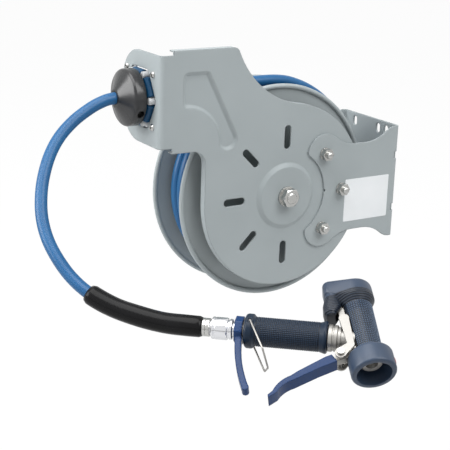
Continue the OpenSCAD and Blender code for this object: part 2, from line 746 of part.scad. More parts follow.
gun_axis = [cos(gun_turn.y) * cos(gun_turn.z), cos(gun_turn.y) * sin(gun_turn.z), -sin(gun_turn.y)];
to_gun = [for (x = [ferrule_x - 20, ferrule_x - seat_gap]) gun_at + x * gun_axis];
free_route = curve(concat(route, to_gun), 2);
hose_run = concat(leaving, to_guide, in_guide, [for (i = [1:1:len(free_route) - 1]) free_route[i]],
    [to_gun[1]]);
hose_dir = concat(along([for (i = [0:1:len(hose_run) - 2]) hose_run[i]]), [gun_axis]);
sleeve_at = len(leaving) + len(to_guide) + len(in_guide) + 2 * sleeve_start - 3;
module hose_part(from, to, r, sides) {
    tube([for (i = [from:1:to]) hose_run[i]], r, sides, [0, 1, 0], [for (i = [from:1:to]) hose_dir[i]]);
}
module hose_tail() { color(hose_blue) hose_part(0, sleeve_at, hose_r, 10); }
module hose_sleeve() { color("#202124") hose_part(sleeve_at, len(hose_run) - 1, sleeve_d / 2, 12); }

// Hose guide: a hexagonal frame with six rollers on pins between its lugs
function guide_corner(k) = [guide_y, guide_z] + polar(roller_ring, 60 * k);
module at_roller(k) {
    mid = (guide_corner(k) + guide_corner(k + 1)) / 2;
    translate([guide_x - hub_reach, mid.x, mid.y]) rotate([60 * k + 120, 0, 0]) children();
}
guide_back = -arm_reach + sheet;
module guide_frame() {
    land = 5;
    lug_front = guide_x - 5.5;
    pin_half = roller_ring / 2 - 3;
    color(zinc) at_hub() difference() {
        union() {
            difference() {
                sideways(guide_back, guide_t) union() {
                    guide_opening(land);
                    translate([guide_y, guide_z]) guide_ears();
                }
                sideways(guide_back - cut, guide_t + 2 * cut) guide_opening(-0.4);
            }
            for (k = [0:5]) lug(k);
        }
        guide_screw_spots() rod_x(screw_r + run_fit, guide_back - cut, guide_back + guide_t + cut);
        translate([hub_reach, 0, 0]) for (k = [0:5]) at_roller(k) rod_y(roller_pin_r, -pin_half,
            pin_half);
    }
    // Four ears under the screws
    module guide_ears() {
        for (a = [-1, 1], b = [-1, 1]) translate([a * guide_pitch_y / 2, b * guide_pitch_z / 2])
            circle(r = 8.5, $fn = 48);
    }
    // A post at a corner of the hexagon, tied to the frame by a short rib
    module lug(k) {
        c = guide_corner(k);
        translate([0, c.x, c.y]) rotate([60 * k, 0, 0]) {
            rod_x(guide_lug_r, lug_front, guide_back + guide_t);
            translate([guide_back, 0, -guide_lug_r]) cube([guide_t, guide_open - roller_ring,
                2 * guide_lug_r]);
        }
    }
}
module guide_screws() {
    head_r = 4.6;
    head_h = 3;
    nut_t = 4;
    under = -arm_reach;
    inside = guide_back + guide_t;
    color(steel) at_hub() guide_screw_spots() {
        rod_x(screw_r, under, inside + nut_t + 1);
        difference() {
            about_x() polygon([[0, under], [head_r, under], [head_r, under - 1], [head_r - 1.4,
                under - head_h], [0, under - head_h]]);
            rod_x(1.6, under - head_h - cut, under - 1, 6);
        }
        difference() {
            rod_x(4.6, inside, inside + nut_t, 6);
            rod_x(screw_r + run_fit, inside - cut, inside + nut_t + cut);
        }
    }
}
module roller_pins() {
    half = roller_ring / 2 - 3;
    color(steel) for (k = [0:5]) at_roller(k) rod_y(roller_pin_r, -half, half);
}
module guide_roller(k) {
    edge = 1;
    h = roller_l / 2;
    bore = roller_pin_r + run_fit;
    color(roller_blue) at_roller(k) about_y() polygon([[bore, -h], [roller_r - edge, -h], [roller_r,
        -h + edge],
        [roller_r, h - edge], [roller_r - edge, h], [bore, h]]);
}

// Hose stop: two halves screwed together round the hose
stop_skirt = 13;
stop_screw_at = 17;
stop_screw_r = 2.4;
stop_screw_depth = 12;
stop_head_r = 4.5;
stop_nut_r = 4.6;
stop_seat = 9;
module at_stop() { translate([stop_back - hub_reach, guide_y, guide_z]) rotate([90, 0, 0]) children(); }
module stop_half(s) {
    r = stop_d / 2;
    nose = 12;
    split = 0.4;
    at_stop() difference() {
        about_x() polygon(concat([[hose_r, 0], [r - 3, 0]], arc([r - 2, -2], 2, 90, 0, 3),
            arc([r - 5, -stop_skirt], 5, 0, -60, 4), [[nose + 3, -stop_l + 1.5], [nose, -stop_l],
                [hose_r, -stop_l]]));
        translate([-stop_l - cut, -r - cut, s > 0 ? -r - cut : -split / 2])
            cube([stop_l + 2 * cut, 2 * r + 2 * cut, r + cut + split / 2]);
        // One screw goes in from each side, into a nut held at the split of the other half
        for (t = [-1, 1]) translate([-stop_skirt / 2 - 1, t * stop_screw_at, 0]) {
            cylinder(r = stop_screw_r + 0.2, h = 2 * stop_screw_depth + 1, center = true, $fn = 48);
            mirror([0, 0, s < 0 ? 1 : 0])
                if (t == -s) translate([0, 0, stop_seat]) cylinder(r = stop_head_r + 0.5, h = r, $fn = 48);
                else translate([0, 0, -cut]) cylinder(r = stop_nut_r + 0.2, h = stop_seat + cut, $fn = 6);
        }
    }
}
module hose_stop_front() { color(stop_black) stop_half(1); }
module hose_stop_rear() { color(stop_black) stop_half(-1); }
module stop_screws() {
    h = 4;
    color(steel) at_stop() for (t = [-1, 1])
        translate([-stop_skirt / 2 - 1, t * stop_screw_at, 0]) mirror([0, 0, t > 0 ? 1 : 0]) {
            translate([0, 0, -stop_screw_depth]) cylinder(r = stop_screw_r, h = stop_screw_depth
                + stop_seat, $fn = 48);
            translate([0, 0, stop_seat]) cylinder(r = stop_head_r, h = h, $fn = 48);
            translate([0, 0, -stop_seat + 0.2]) cylinder(r = stop_nut_r, h = h, $fn = 6);
        }
}

// Hose end and swivel behind the gun
ferrule_l = 9;
swivel_x = ferrule_x + ferrule_l;
hook_x0 = -18;
hook_x1 = -8.5;
swivel_stub_r = 6;
swivel_stub_l = 10;
module hose_ferrule() {
    r = 11;
    x = ferrule_x;
    color(steel) at_gun() about_x() polygon([[0, x], [r, x], [r, x + 3], [r - 0.6, x + 3.5], [r, x + 4],
        [r, x + ferrule_l - 1], [r - 1, x + ferrule_l], [swivel_stub_r, x + ferrule_l],
        [swivel_stub_r, x + ferrule_l + swivel_stub_l], [0, x + ferrule_l + swivel_stub_l]]);
}
module swivel_coupling() {
    r = 13.3;
    x = swivel_x + seat_gap;
    end = hook_x0 - 0.5;
    color(steel) at_gun() difference() {
        about_x() polygon(concat([[0, x], [9.5, x], [9.5, x + 1.5], [r - 1, x + 1.5], [r, x + 2.5],
            [r, x + 4.5], [r - 0.7, x + 5], [r - 0.7, x + 6]], arc([r - 1, x + 7], 1, -90, 0, 4),
            arc([r - 2, x + 19], 2, 0, 90, 4), [[10.5, x + 21], [10.5, x + 22.5], [r - 1, x + 23],
            [r - 1, x + 26], [9, x + 27], [9, end], [0, end]]));
        rod_x(4.5, x - cut, end + cut);
        rod_x(swivel_stub_r + run_fit, x - cut, x + swivel_stub_l);
    }
}
module handle_tube() {
    neck_r = 9.5;
    step = 15.9;
    x = grip_l + 3;
    color(steel) at_gun() difference() {
        about_x() polygon([[0, hook_x0 - 0.5], [neck_r, hook_x0 - 0.5], [neck_r, hook_x1 + 1], [tube_r,
            hook_x1 + 1],
            [tube_r, x], [step - 1, x], [step, x + 1], [step, x + 5], [step - 1.2, x + 5.6], [step - 1.2,
                x + 7],
            [step - 0.4, x + 7.6], [step - 0.4, x + 11], [step - 2.4, x + 12], [step - 2.4, x + 15], [0,
                x + 15]]);
        rod_x(7, hook_x0 - 0.5 - cut, x + 15 + cut);
    }
}
elbow_x = grip_l + 18;

// Grip: a moulded sleeve with a collar at each end and shallow finger rings
module grip() {
    front_r = grip_r + 1.6;
    ring = 0.5;
    pitch = 5;
    first = 9;
    bore = tube_r + 0.05;
    count = floor((grip_l - 8 - first) / pitch);
    ribs = [for (i = [0:count - 1]) each [[grip_r, first + i * pitch], [grip_r,
        first + i * pitch + pitch - 1.6],
        [grip_r - ring, first + i * pitch + pitch - 1.2], [grip_r - ring,
            first + i * pitch + pitch - 0.4]]];
    color(navy) at_gun() difference() {
        about_x() polygon(concat([[bore, -6.5]], arc([collar_r - 4, -2.5], 4, -90, 0, 4),
            arc([collar_r - 3, 1.5], 3, 0, 75, 4), [[grip_r, 6]], ribs, [[grip_r, grip_l - 5.5]],
            arc([front_r - 2.5, grip_l + 0.2], 2.5, 0, 90, 4), [[bore, grip_l + 2.7]]));
        for (s = [0, 1]) mirror([0, s, 0]) {
            rod_y(wire_r + run_fit, tube_r + 2.5, collar_r + cut);
            rod_y(wire_r + 1.3, collar_r - 1.8, collar_r + cut);
        }
    }
}

// Valve body: elbow and barrel in one casting, with ears for the trigger pin
barrel_front = 26;
nozzle_in = 6;
barrel_rear = 46;
module ear_plate(y0) {
    upright(y0, ear_t) difference() {
        union() {
            translate([-fulcrum_at.x, -fulcrum_at.y]) circle(r = ear_r, $fn = 48);
            translate([-fulcrum_at.x, -fulcrum_at.y - ear_r]) square([fulcrum_at.x - 6, 2 * ear_r]);
        }
        translate([-fulcrum_at.x, -fulcrum_at.y]) circle(r = pin_r, $fn = 48);
    }
}
module valve_body() {
    neck = elbow_r;
    color(steel) at_gun() difference() {
        union() {
            at_barrel() translate([0, 0, -barrel_front]) cylinder(r = barrel_tube_r,
                h = barrel_front + barrel_rear, $fn = fine);
            rod_x(neck, elbow_x, barrel_x);
            at_barrel() for (y = [ear_y, -ear_y - ear_t]) ear_plate(y);
        }
        at_barrel() translate([0, 0, -barrel_front - cut]) cylinder(r = barrel_bore_r,
            h = barrel_front + barrel_rear + 2 * cut, $fn = fine);
        rod_x(elbow_bore_r, elbow_x - cut, barrel_x);
        at_barrel() translate([-fulcrum_at.x - 8, -ear_y, -fulcrum_at.y - 9])
            cube([8 + fulcrum_at.x - barrel_bore_r - 3.5, 2 * ear_y, 18]);
        at_barrel() translate([0, 0, barrel_rear - 12]) cylinder(r = barrel_bore_r + 2, h = 12 + cut,
            $fn = fine);
        at_barrel() translate([0, 0, -barrel_front - cut]) cylinder(r = barrel_bore_r + 2,
            h = nozzle_in + cut, $fn = fine);
    }
}
module packing_nut() {
    color(brass) at_gun() at_barrel() difference() {
        union() {
            translate([0, 0, barrel_rear - 12]) cylinder(r = barrel_bore_r + 2, h = 12, $fn = fine);
            translate([0, 0, barrel_rear]) cylinder(r = 11, h = 4, $fn = 6);
        }
        translate([0, 0, barrel_rear - 12 - cut]) cylinder(r = stem_r + run_fit, h = 18 + cut,
            $fn = fine);
    }
}
// The nozzle screws into the front of the barrel and narrows to the jet
module nozzle() {
    w = -barrel_front;
    out = 9;
    color(steel) at_gun() at_barrel() rotate_extrude($fn = fine)
        polygon([[4.5, w + nozzle_in], [barrel_bore_r + 2, w + nozzle_in], [barrel_bore_r + 2, w], [12.5, w], [12.5,
            w - out + 1],
            [11.5, w - out], [7, w - out], [4.5, w - 2]]);
}

// Head cover: rubber over the barrel, with a bulb at the rear and a bell at the nozzle
bulb_r = 23;
bulb_foot = 6.5;
bulb_rise = 7;
bulb_corner_r = 8;
bulb_corner_h = 22;
bulb_corner_at = [27.5, 8];
bulb_skirt_at = [32.5, 7];
bulb_skirt_h = 38;
bulb_room = 72;
module bulb_puck(r, h, foot, n = 32) {
    e = 4;
    rotate_extrude($fn = n) polygon(concat([[0, 0], [r - foot, 0], [r, 1.4 * foot]], arc([r - e, h - e],
        e, 0, 90, 4), [[0, h]]));
}
module head_shell() {
    inner = barrel_tube_r + cover_gap;
    bulb_h = bulb_front - bulb_back;
    difference() {
        union() {
            rotate_extrude($fn = fine) polygon(concat([[inner, 2 - bulb_front],
                [cover_r + cover_taper, 1 - bulb_front], [cover_r, -bell_back + 3],
                [cover_r + 2, -bell_back]], arc([bell_r - 5, -bell_back - 6], 5, 60, 0, 4),
                arc([bell_r - 3, -bell_front + 3], 3, 0, -90, 4),
                [[bell_bore_r, -bell_front], [bell_bore_r - 2, -bell_back - 8], [inner,
                    -bell_back - 8]]));
            // The head of the bulb, with two corners on the grip side
            hull() {
                translate([0, 0, -bulb_front]) bulb_puck(bulb_r, bulb_h, bulb_foot);
                for (y = [-1, 1]) translate([-bulb_corner_at.x, y * bulb_corner_at.y, -bulb_back
                    + bulb_rise - bulb_corner_h]) bulb_puck(bulb_corner_r, bulb_corner_h, 4, 24);
            }
            // The skirt under it that houses the arm of the stem
            hull() for (y = [-1, 1]) {
                translate([-bulb_skirt_at.x, y * bulb_skirt_at.y, bulb_skirt_h])
                    bulb_puck(bulb_corner_r, 18, 3, 24);
                translate([1 - bulb_corner_at.x, y * bulb_skirt_at.y, bulb_skirt_h + 8])
                    bulb_puck(bulb_corner_r, 26, 3, 24);
            }
        }
        // Room for the packing nut, the stem with its arm, and the ends of the stirrup
        translate([0, 0, 20]) cylinder(r = inner, h = 30, $fn = fine);
        translate([0, 0, 43]) cylinder(r = 15, h = bulb_room - 43, $fn = fine);
        translate([-crosshead_at.x - 8, -7.5, 18]) cube([crosshead_room + 1.8, 15, bulb_room - 18]);
        translate([-crosshead_at.x - 7, -7, 50]) cube([crosshead_at.x + 7, 14, bulb_room - 51]);
        translate([-crosshead_at.x - 6.7, -40, 18]) cube([crosshead_room, 80, 24]);
        // The cover leaves the grip side of the barrel open, with a slot for the trigger's ears
        translate([-60, -40, -bell_back + 1]) cube([60 - cover_open, 80, bell_back + 33 - 1]);
        translate([-40, -ear_y - ear_t - 0.6, -fulcrum_at.y - ear_r - ear_room]) cube([36,
            2 * (ear_y + ear_t + 0.6), fulcrum_at.y + ear_r + ear_room]);
        translate([0, 0, -bell_back - 7]) cylinder(r = inner, h = 40, $fn = fine);
    }
}
module head_cover() {
    color(navy) at_gun() difference() {
        at_barrel() head_shell();
        rod_x(elbow_r + seat_gap, elbow_x, barrel_x);
    }
}

// Trigger: a steel lever under a blue cover, on a pin in the valve body's ears
fulcrum = barrel_point(fulcrum_at);
lever_dir = -polar(1, lever_angle);
stirrup_at = fulcrum + stirrup_arm * lever_dir - 1.5 * [sin(lever_angle), -cos(lever_angle)];
module at_trigger() { translate([fulcrum.x, 0, fulcrum.y]) rotate([0, 180 - lever_angle, 0]) children(); }
module fulcrum_pin() {
    half = ear_y + ear_t;
    color(steel) at_gun() translate([fulcrum.x, 0, fulcrum.y]) rod_y(pin_r, -half, half);
}
// The steel lever tapers from its eye into the cover
module lever_outline() {
    rotate(lever_lean)
        polygon([[0, -5.5], [27.5, -8], [88, -8.6], [88, -6.2], [27.5, -0.4], [0, 4.6]]);
}
module trigger_lever() {
    color(steel) at_gun() at_trigger() upright(-lever_t / 2, lever_t) difference() {
        union() {
            circle(r = 5.5, $fn = 48);
            lever_outline();
        }
        circle(r = pin_r + run_fit, $fn = 48);
        translate([stirrup_arm, -1.5]) circle(r = pin_r, $fn = 48);
    }
}
// The cover is a wedge on the side of the fingers that thins out and curls away at the tip
module trigger_outline() {
    rotate(lever_lean) polygon(concat([[23.8, -8.2], [31.7, -9.6], [67.6, -10.6]],
        arc([85, 28], 38.6, -100, -56, 8), [[114, -2.6], [115.6, 0.8]],
        arc([87, 30], 34.2, -61, -104, 8), [[47.5, -0.6], [23.8, 2.8]]));
}
module trigger_cover() {
    color(trigger_blue) at_gun() at_trigger() difference() {
        upright(-trigger_w / 2, trigger_w) trigger_outline();
        upright(-lever_t / 2, lever_t) lever_outline();
    }
}
module stirrup_pin() {
    half = plate_in + plate_t + 1.5;
    color(steel) at_gun() at_trigger() translate([stirrup_arm, 0, -1.5]) {
        rod_y(pin_r, -half, half);
        for (s = [0, 1]) mirror([0, s, 0]) rod_y(4.2, half, half + 2);
    }
}

// Stirrup: two bent plates that pull the stem back by the bar between them
slide_slack = 0.9;
stirrup_knee = [-19.2, -11];
module bar2d(a, b, wa, wb) {
    n = unit([a.y - b.y, b.x - a.x]);
    polygon([a + wa / 2 * n, b + wb / 2 * n, b - wb / 2 * n, a - wa / 2 * n]);
}
module stirrup_plate() {
    s = stirrup_local;
    c = -crosshead_at;
    difference() {
        union() {
            translate(s) circle(r = 6.8, $fn = 48);
            bar2d(s, stirrup_knee, 13.6, 8);
            translate(stirrup_knee) circle(r = 4, $fn = 48);
            bar2d(stirrup_knee, c, 8, 11);
            translate(c) circle(r = 6, $fn = 48);
        }
        translate(s) slot2d(2 * (pin_r + slide_slack), 2 * (pin_r + 0.1));
    }
}
stirrup_offset = stirrup_at - [barrel_x, 0];
stirrup_local = [-(stirrup_offset * barrel_side), -(stirrup_offset * barrel_dir)];
module stirrup() {
    color(steel) at_gun() at_barrel() {
        for (s = [0, 1]) mirror([0, s, 0]) upright(plate_in, plate_t) stirrup_plate();
        translate([-crosshead_at.x, 0, -crosshead_at.y]) cube([crosshead_w, 2 * plate_in, crosshead_w],
            center = true);
    }
}
// Stem: a rod through the packing nut with a plug in front and an arm down to the crosshead
stem_top = 58;
stem_head_t = 4;
module valve_stem() {
    arm_w = 10;
    crosshead_top = -crosshead_at.y + crosshead_w / 2;
    color(brass) at_gun() at_barrel() union() {
        translate([0, 0, -16]) cylinder(r = stem_r, h = stem_top + 16, $fn = fine);
        translate([0, 0, -19.5]) cylinder(r = 7, h = 7, $fn = fine);
        translate([0, 0, stem_top - stem_head_t]) cylinder(r = 9, h = stem_head_t, $fn = fine);
        translate([-crosshead_at.x, -arm_w / 2, stem_top - stem_head_t]) cube([crosshead_at.x, arm_w,
            stem_head_t]);
        translate([-crosshead_at.x - crosshead_w / 2, -arm_w / 2, crosshead_top])
            cube([crosshead_w, arm_w, stem_top - crosshead_top]);
    }
}
// Return spring between the head of the stem and the end of the bulb
module valve_spring() {
    turns = 4;
    r = 7;
    wire = 0.7;
    low = stem_top + wire + 0.1;
    high = bulb_room - wire - 0.1;
    steps = turns * 12;
    path = [for (i = [0:steps]) let (a = 360 * turns * i / steps)
        [r * cos(a), r * sin(a), low + (high - low) * i / steps]];
    color(steel) at_gun() at_barrel() tube(path, wire, 6, [0, 0, 1]);
}

// Hanging hook: a split ring on the neck of the handle with a curved arm
module hanging_hook() {
    ring_r = 16.5;
    w = 11;
    bow_c = [186, 4];
    bow_r = 199;
    bow_end = 206.4;
    color(trigger_blue) at_gun() difference() {
        union() {
            rod_x(ring_r, hook_x0, hook_x1, 8);
            upright(-w / 2, w) {
                polygon(concat(arc(bow_c, bow_r + 3.8, 183, bow_end, 10), arc(bow_c, bow_r - 3.8, bow_end,
                    183, 10)));
                translate(bow_c + polar(bow_r, bow_end)) circle(r = 4.2, $fn = 48);
            }
        }
        rod_x(9.5 + run_fit, hook_x0 - cut, hook_x1 + cut);
    }
}

// Hold-open wire: a loop that straddles the grip and meets below it
module hold_open_wire() {
    bend = [21.5, wire_half_w, -40.5];
    tip = [27.6, 2.2, -50];
    inside = tube_r + 3;
    turn = 2.5;
    elbow = [0, wire_half_w, 0];
    leg = unit(bend - elbow);
    fold = unit(tip - bend);
    side = [[0, inside, 0], elbow - [0, turn, 0], elbow + turn * (leg - [0, 1, 0]) * 0.3, elbow + turn * leg,
        bend - turn * leg, bend + turn * 0.25 * (fold - leg), bend + turn * fold, tip - turn * fold,
        tip + [0.4, -0.6, -0.8]];
    path = concat(side, [for (i = [len(side) - 1:-1:0]) [side[i].x, -side[i].y, side[i].z]]);
    color(steel) at_gun() tube(path, wire_r, 12, [0, 0, 1]);
}

wall_bracket();
front_plate();
rear_plate();
cheek_bolts();
cheek_washers();
cheek_nuts();
main_shaft();
shaft_washer();
shaft_nut();
spring_arbor();
inlet_elbow();
pawl_post();
ratchet_pawl();
guide_frame();
guide_screws();
roller_pins();
guide_roller(0);  // guide_roller_1
guide_roller(1);  // guide_roller_2
guide_roller(2);  // guide_roller_3
guide_roller(3);  // guide_roller_4
guide_roller(4);  // guide_roller_5
guide_roller(5);  // guide_roller_6
drum_barrel();
front_flange();
rear_flange();
front_bush();
rear_bush();
ratchet_ring();
power_spring();
swivel_body();
swivel_seals();
hose_outlet();
hose_core();
hose_winding();
hose_tail();
hose_stop_front();
hose_stop_rear();
stop_screws();
hose_sleeve();
hose_ferrule();
swivel_coupling();
handle_tube();
grip();
valve_body();
head_cover();
nozzle();
packing_nut();
fulcrum_pin();
hanging_hook();
hold_open_wire();
trigger_lever();
trigger_cover();
stirrup_pin();
stirrup();
valve_stem();
valve_spring();
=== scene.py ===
# %% [markdown]
# # A spring-rewind hose reel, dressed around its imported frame
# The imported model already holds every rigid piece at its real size. This lesson loads it, makes
# the hose and the moulded rubber as new surfaces, gives each piece a finish made of shader nodes,
# and sets up a plain studio. Lengths are metres, and millimetres times `mm` where a drawing would
# use them.

# %% Load the frame
import json

import bpy
import numpy as np
from mathutils import Matrix


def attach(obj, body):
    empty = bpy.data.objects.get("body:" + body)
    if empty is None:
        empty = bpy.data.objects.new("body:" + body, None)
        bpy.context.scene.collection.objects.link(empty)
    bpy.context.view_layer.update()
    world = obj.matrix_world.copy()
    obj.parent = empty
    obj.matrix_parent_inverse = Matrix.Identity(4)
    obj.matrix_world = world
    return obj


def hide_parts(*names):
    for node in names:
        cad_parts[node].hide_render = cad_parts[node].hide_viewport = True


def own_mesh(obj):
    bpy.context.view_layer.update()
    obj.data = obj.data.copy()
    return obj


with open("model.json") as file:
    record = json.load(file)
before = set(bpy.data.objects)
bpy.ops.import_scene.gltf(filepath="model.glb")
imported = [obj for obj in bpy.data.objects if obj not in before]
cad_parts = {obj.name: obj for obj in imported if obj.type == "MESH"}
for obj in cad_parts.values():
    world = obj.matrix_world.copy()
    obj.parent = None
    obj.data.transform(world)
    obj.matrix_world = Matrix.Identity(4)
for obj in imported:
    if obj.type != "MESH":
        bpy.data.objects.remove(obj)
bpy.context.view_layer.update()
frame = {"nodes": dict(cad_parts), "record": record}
nodes = frame["nodes"]
mm = 0.001
tau = 2 * np.pi

# %% [markdown]
# ## Camera
# The picture was taken from the left of the reel and from a little above, with a long lens. Three
# square axes and a place say the same as angles would, and can be written straight into the
# camera's matrix.

# %% Camera
eye_at = np.array([-1.1235, -1.4086, 0.4540])
eye_right = np.array([0.8562, -0.5157, 0.0306])
eye_back = np.array([-0.5008, -0.8142, 0.2936])
eye_right /= np.linalg.norm(eye_right)
eye_back -= eye_right * (eye_back @ eye_right)
eye_back /= np.linalg.norm(eye_back)
pose = np.eye(4)
pose[:3, :3] = np.stack([eye_right, np.cross(eye_back, eye_right), eye_back], 1)
pose[:3, 3] = eye_at
lens = bpy.data.cameras.new("camera")
lens.sensor_width = 36
lens.lens = 95.44
lens.clip_start, lens.clip_end = 0.05, 30
camera = bpy.data.objects.new("camera", lens)
camera.matrix_world = Matrix(pose.tolist())
bpy.context.scene.collection.objects.link(camera)
bpy.context.scene.camera = camera

# %% [markdown]
# ## Shader sums
# Node trees get hard to read when each node is wired by hand. A small class stands for a socket,
# so that a sum written in Python adds the Math nodes by itself. Every other node comes from one
# method.


# %% Sockets and finishes
class Value:
    """One output socket. Plain arithmetic on it adds Math nodes to its finish."""

    def __init__(self, finish, socket):
        self.finish, self.socket = finish, socket

    def __add__(self, other):
        return self.finish.math("ADD", self, other)

    def __sub__(self, other):
        return self.finish.math("SUBTRACT", self, other)

    def __rsub__(self, other):
        return self.finish.math("SUBTRACT", other, self)

    def __mul__(self, other):
        return self.finish.math("MULTIPLY", self, other)

    __radd__, __rmul__ = __add__, __mul__


class Finish:
    """A material under construction, with one method for any node and a few for the common ones."""

    def __init__(self, name):
        self.material = bpy.data.materials.new(name)
        self.material.use_nodes = True
        self.tree = self.material.node_tree
        self.tree.nodes.clear()
        self.end = self.tree.nodes.new("ShaderNodeOutputMaterial")

    def feed(self, socket, value):
        """Link a value to a socket, or write a plain number or colour into it."""
        if isinstance(value, Value):
            self.tree.links.new(value.socket, socket)
        else:
            socket.default_value = value

    def node(self, kind, settings=None, inputs=None, out=0):
        """Any node: its type, its settings, and the values or links of its sockets."""
        made = self.tree.nodes.new(kind)
        for key, value in (settings or {}).items():
            setattr(made, key, value)
        for key, value in (inputs or {}).items():
            self.feed(made.inputs[key], value)
        return Value(self, made.outputs[out])

    def math(self, operation, a, b):
        return self.node("ShaderNodeMath", {"operation": operation}, {0: a, 1: b})

    def place(self, scale=(1, 1, 1)):
        """The Object coordinates of a point, stretched along the axes."""
        here = self.node("ShaderNodeTexCoord", out="Object")
        return self.node("ShaderNodeMapping", None, {"Vector": here, "Scale": scale})

    def noise(self, scale, detail, at=None):
        """Noise with so many waves to the metre."""
        return self.node("ShaderNodeTexNoise", None,
                         {"Vector": at or self.place(), "Scale": scale, "Detail": detail})

    def blend(self, factor, a, b):
        """Colour a where factor is 0, colour b where it is 1."""
        return self.node("ShaderNodeMix", {"data_type": "RGBA"}, {0: factor, 6: a, 7: b}, out=2)

    def spread(self, value, low, high):
        """The part of value from low to high, stretched to run from 0 to 1."""
        return self.node("ShaderNodeMapRange", None, {0: value, 1: low, 2: high})

    def bump(self, height, depth, strength=1.0, under=None):
        """A normal tilted by a height of so many metres, over another normal if there is one."""
        inputs = {"Height": height, "Distance": depth, "Strength": strength}
        if under:
            inputs["Normal"] = under
        return self.node("ShaderNodeBump", None, inputs)

    def along(self, axis, start):
        """How far a point lies along an axis, in metres from start."""
        here = self.node("ShaderNodeTexCoord", out="Object")
        far = self.node("ShaderNodeVectorMath", {"operation": "DOT_PRODUCT"}, {0: here, 1: axis},
                        out="Value")
        return far - float(np.dot(axis, start))

    def soft_edges(self, radius):
        """A normal that rounds the corners of a mesh, in the shading only."""
        return self.node("ShaderNodeBevel", {"samples": 6}, {"Radius": radius})

    def show(self, shader):
        """Send a shader to the material's output."""
        self.tree.links.new(shader.socket, self.end.inputs["Surface"])
        return self.material

    def surface(self, **sockets):
        """The Principled shader, with its sockets by name: Base_Color for Base Color, and so on."""
        inputs = {key.replace("_", " "): value for key, value in sockets.items()}
        return self.show(self.node("ShaderNodeBsdfPrincipled", None, inputs))


def shade(r, g, b):
    """A colour as a screen shows it, 0 to 255, in the linear numbers that a shader takes."""
    c = np.array([r, g, b]) / 255
    linear = np.where(c <= 0.04045, c / 12.92, ((c + 0.055) / 1.055) ** 2.4)
    return (*linear.tolist(), 1.0)


# %% [markdown]
# ## Surfaces from whole arrays
# A tube, a grip and a ring of turns are all one idea: a grid of points whose rows follow a path
# and whose columns go round it. One helper turns such a grid into a mesh, closes the ring and
# caps both ends.


# %% Grid to mesh
def grid_faces(rows, cols):
    """Quads of a grid whose columns close into a ring: (i, j), (i, j+1), (i+1, j+1), (i+1, j)."""
    i, j = np.meshgrid(np.arange(rows - 1), np.arange(cols), indexing="ij")
    k = (j + 1) % cols
    quads = [i * cols + j, i * cols + k, (i + 1) * cols + k, (i + 1) * cols + j]
    return np.stack(quads, -1).reshape(-1, 4)


def new_piece(name, points, faces, flat=0):
    """A mesh object at the origin. The last flat faces stay flat, the others are smooth."""
    mesh = bpy.data.meshes.new(name)
    mesh.from_pydata(points.reshape(-1, 3).tolist(), [], faces)
    smooth = np.ones(len(faces), bool)
    smooth[len(faces) - flat:] = False
    mesh.polygons.foreach_set("use_smooth", smooth)
    mesh.update()
    piece = bpy.data.objects.new(name, mesh)
    bpy.context.scene.collection.objects.link(piece)
    return piece


def skin(name, grid, hollow=False):
    """A closed skin over rings of points, with a flat cap on the first and the last ring. A hollow
    one has no caps: its last ring joins its first, as round the wall of a bush."""
    rows, cols = grid.shape[:2]
    if hollow:
        return new_piece(name, grid, (grid_faces(rows + 1, cols) % (rows * cols)).tolist())
    ring = np.arange(cols)
    caps = [ring[::-1].tolist(), (ring + (rows - 1) * cols).tolist()]
    return new_piece(name, grid, grid_faces(rows, cols).tolist() + caps, flat=2)


def unit(v):
    """Each vector divided by its own length."""
    return v / np.linalg.norm(v, axis=-1, keepdims=True)


def tube_grid(path, radius, sides, aside=(0, 1, 0)):
    """Rings round a path: centre + radius * (cos(a) * v + sin(a) * w), with v the part of aside
    that is square to the path and w square to both."""
    t = unit(np.gradient(path, axis=0))
    aside = np.broadcast_to(np.asarray(aside, float), path.shape)
    v = unit(aside - (aside * t).sum(1, keepdims=True) * t)
    w = np.cross(t, v)
    a = np.linspace(0, tau, sides, endpoint=False)
    out = np.cos(a)[None, :, None] * v[:, None] + np.sin(a)[None, :, None] * w[:, None]
    return path[:, None] + np.broadcast_to(radius, len(path))[:, None, None] * out


def smooth_path(points, step):
    """A smooth curve through points, as cubic weights on four neighbours, at an even spacing."""
    p = np.asarray(points, float)
    a, b, c, d = np.vstack([p[:1], p[:-2]]), p[:-1], p[1:], np.vstack([p[2:], p[-1:]])
    t = np.linspace(0, 1, 24, endpoint=False)[None, :, None]
    a, b, c, d = (x[:, None] for x in (a, b, c, d))
    fine = b + t / 2 * (c - a + t * (2 * a - 5 * b + 4 * c - d + t * (3 * (b - c) + d - a)))
    fine = np.vstack([fine.reshape(-1, 3), p[-1:]])
    run = np.concatenate([[0], np.cumsum(np.linalg.norm(np.diff(fine, axis=0), axis=1))])
    even = np.linspace(0, run[-1], int(round(run[-1] / step)) + 1)
    return np.stack([np.interp(even, run, fine[:, k]) for k in range(3)], 1)


def length_of(path):
    """The sum of the steps along a path."""
    return float(np.linalg.norm(np.diff(path, axis=0), axis=1).sum())


# %% [markdown]
# ## Where the hose lies
# The hose is 16 mm outside. On the drum its outer layer lies in open turns, and the last turn
# rises out of a groove beside the front flange, crosses the layer and leaves over the top. The
# same angles and radii shape the solid model, so the looks and the solids share one route.

# %% Route of the hose
hub = np.array([-198, 0, 0]) * mm
hose_r = 8 * mm
wind_r, dive_r = 127 * mm, 112.6 * mm
turn_pitch = 16.6 * mm
front_wall, rear_wall, groove_wall = -32 * mm, 40 * mm, -14.8 * mm
first_turn_y, last_turn_y = 31.4 * mm, -6.2 * mm
wind_start, dive_angle = 20.0, 90.0
wind_angle = 360 * (first_turn_y - last_turn_y) / turn_pitch
straight_angle = 360 * 2 * hose_r / (tau * dive_r)


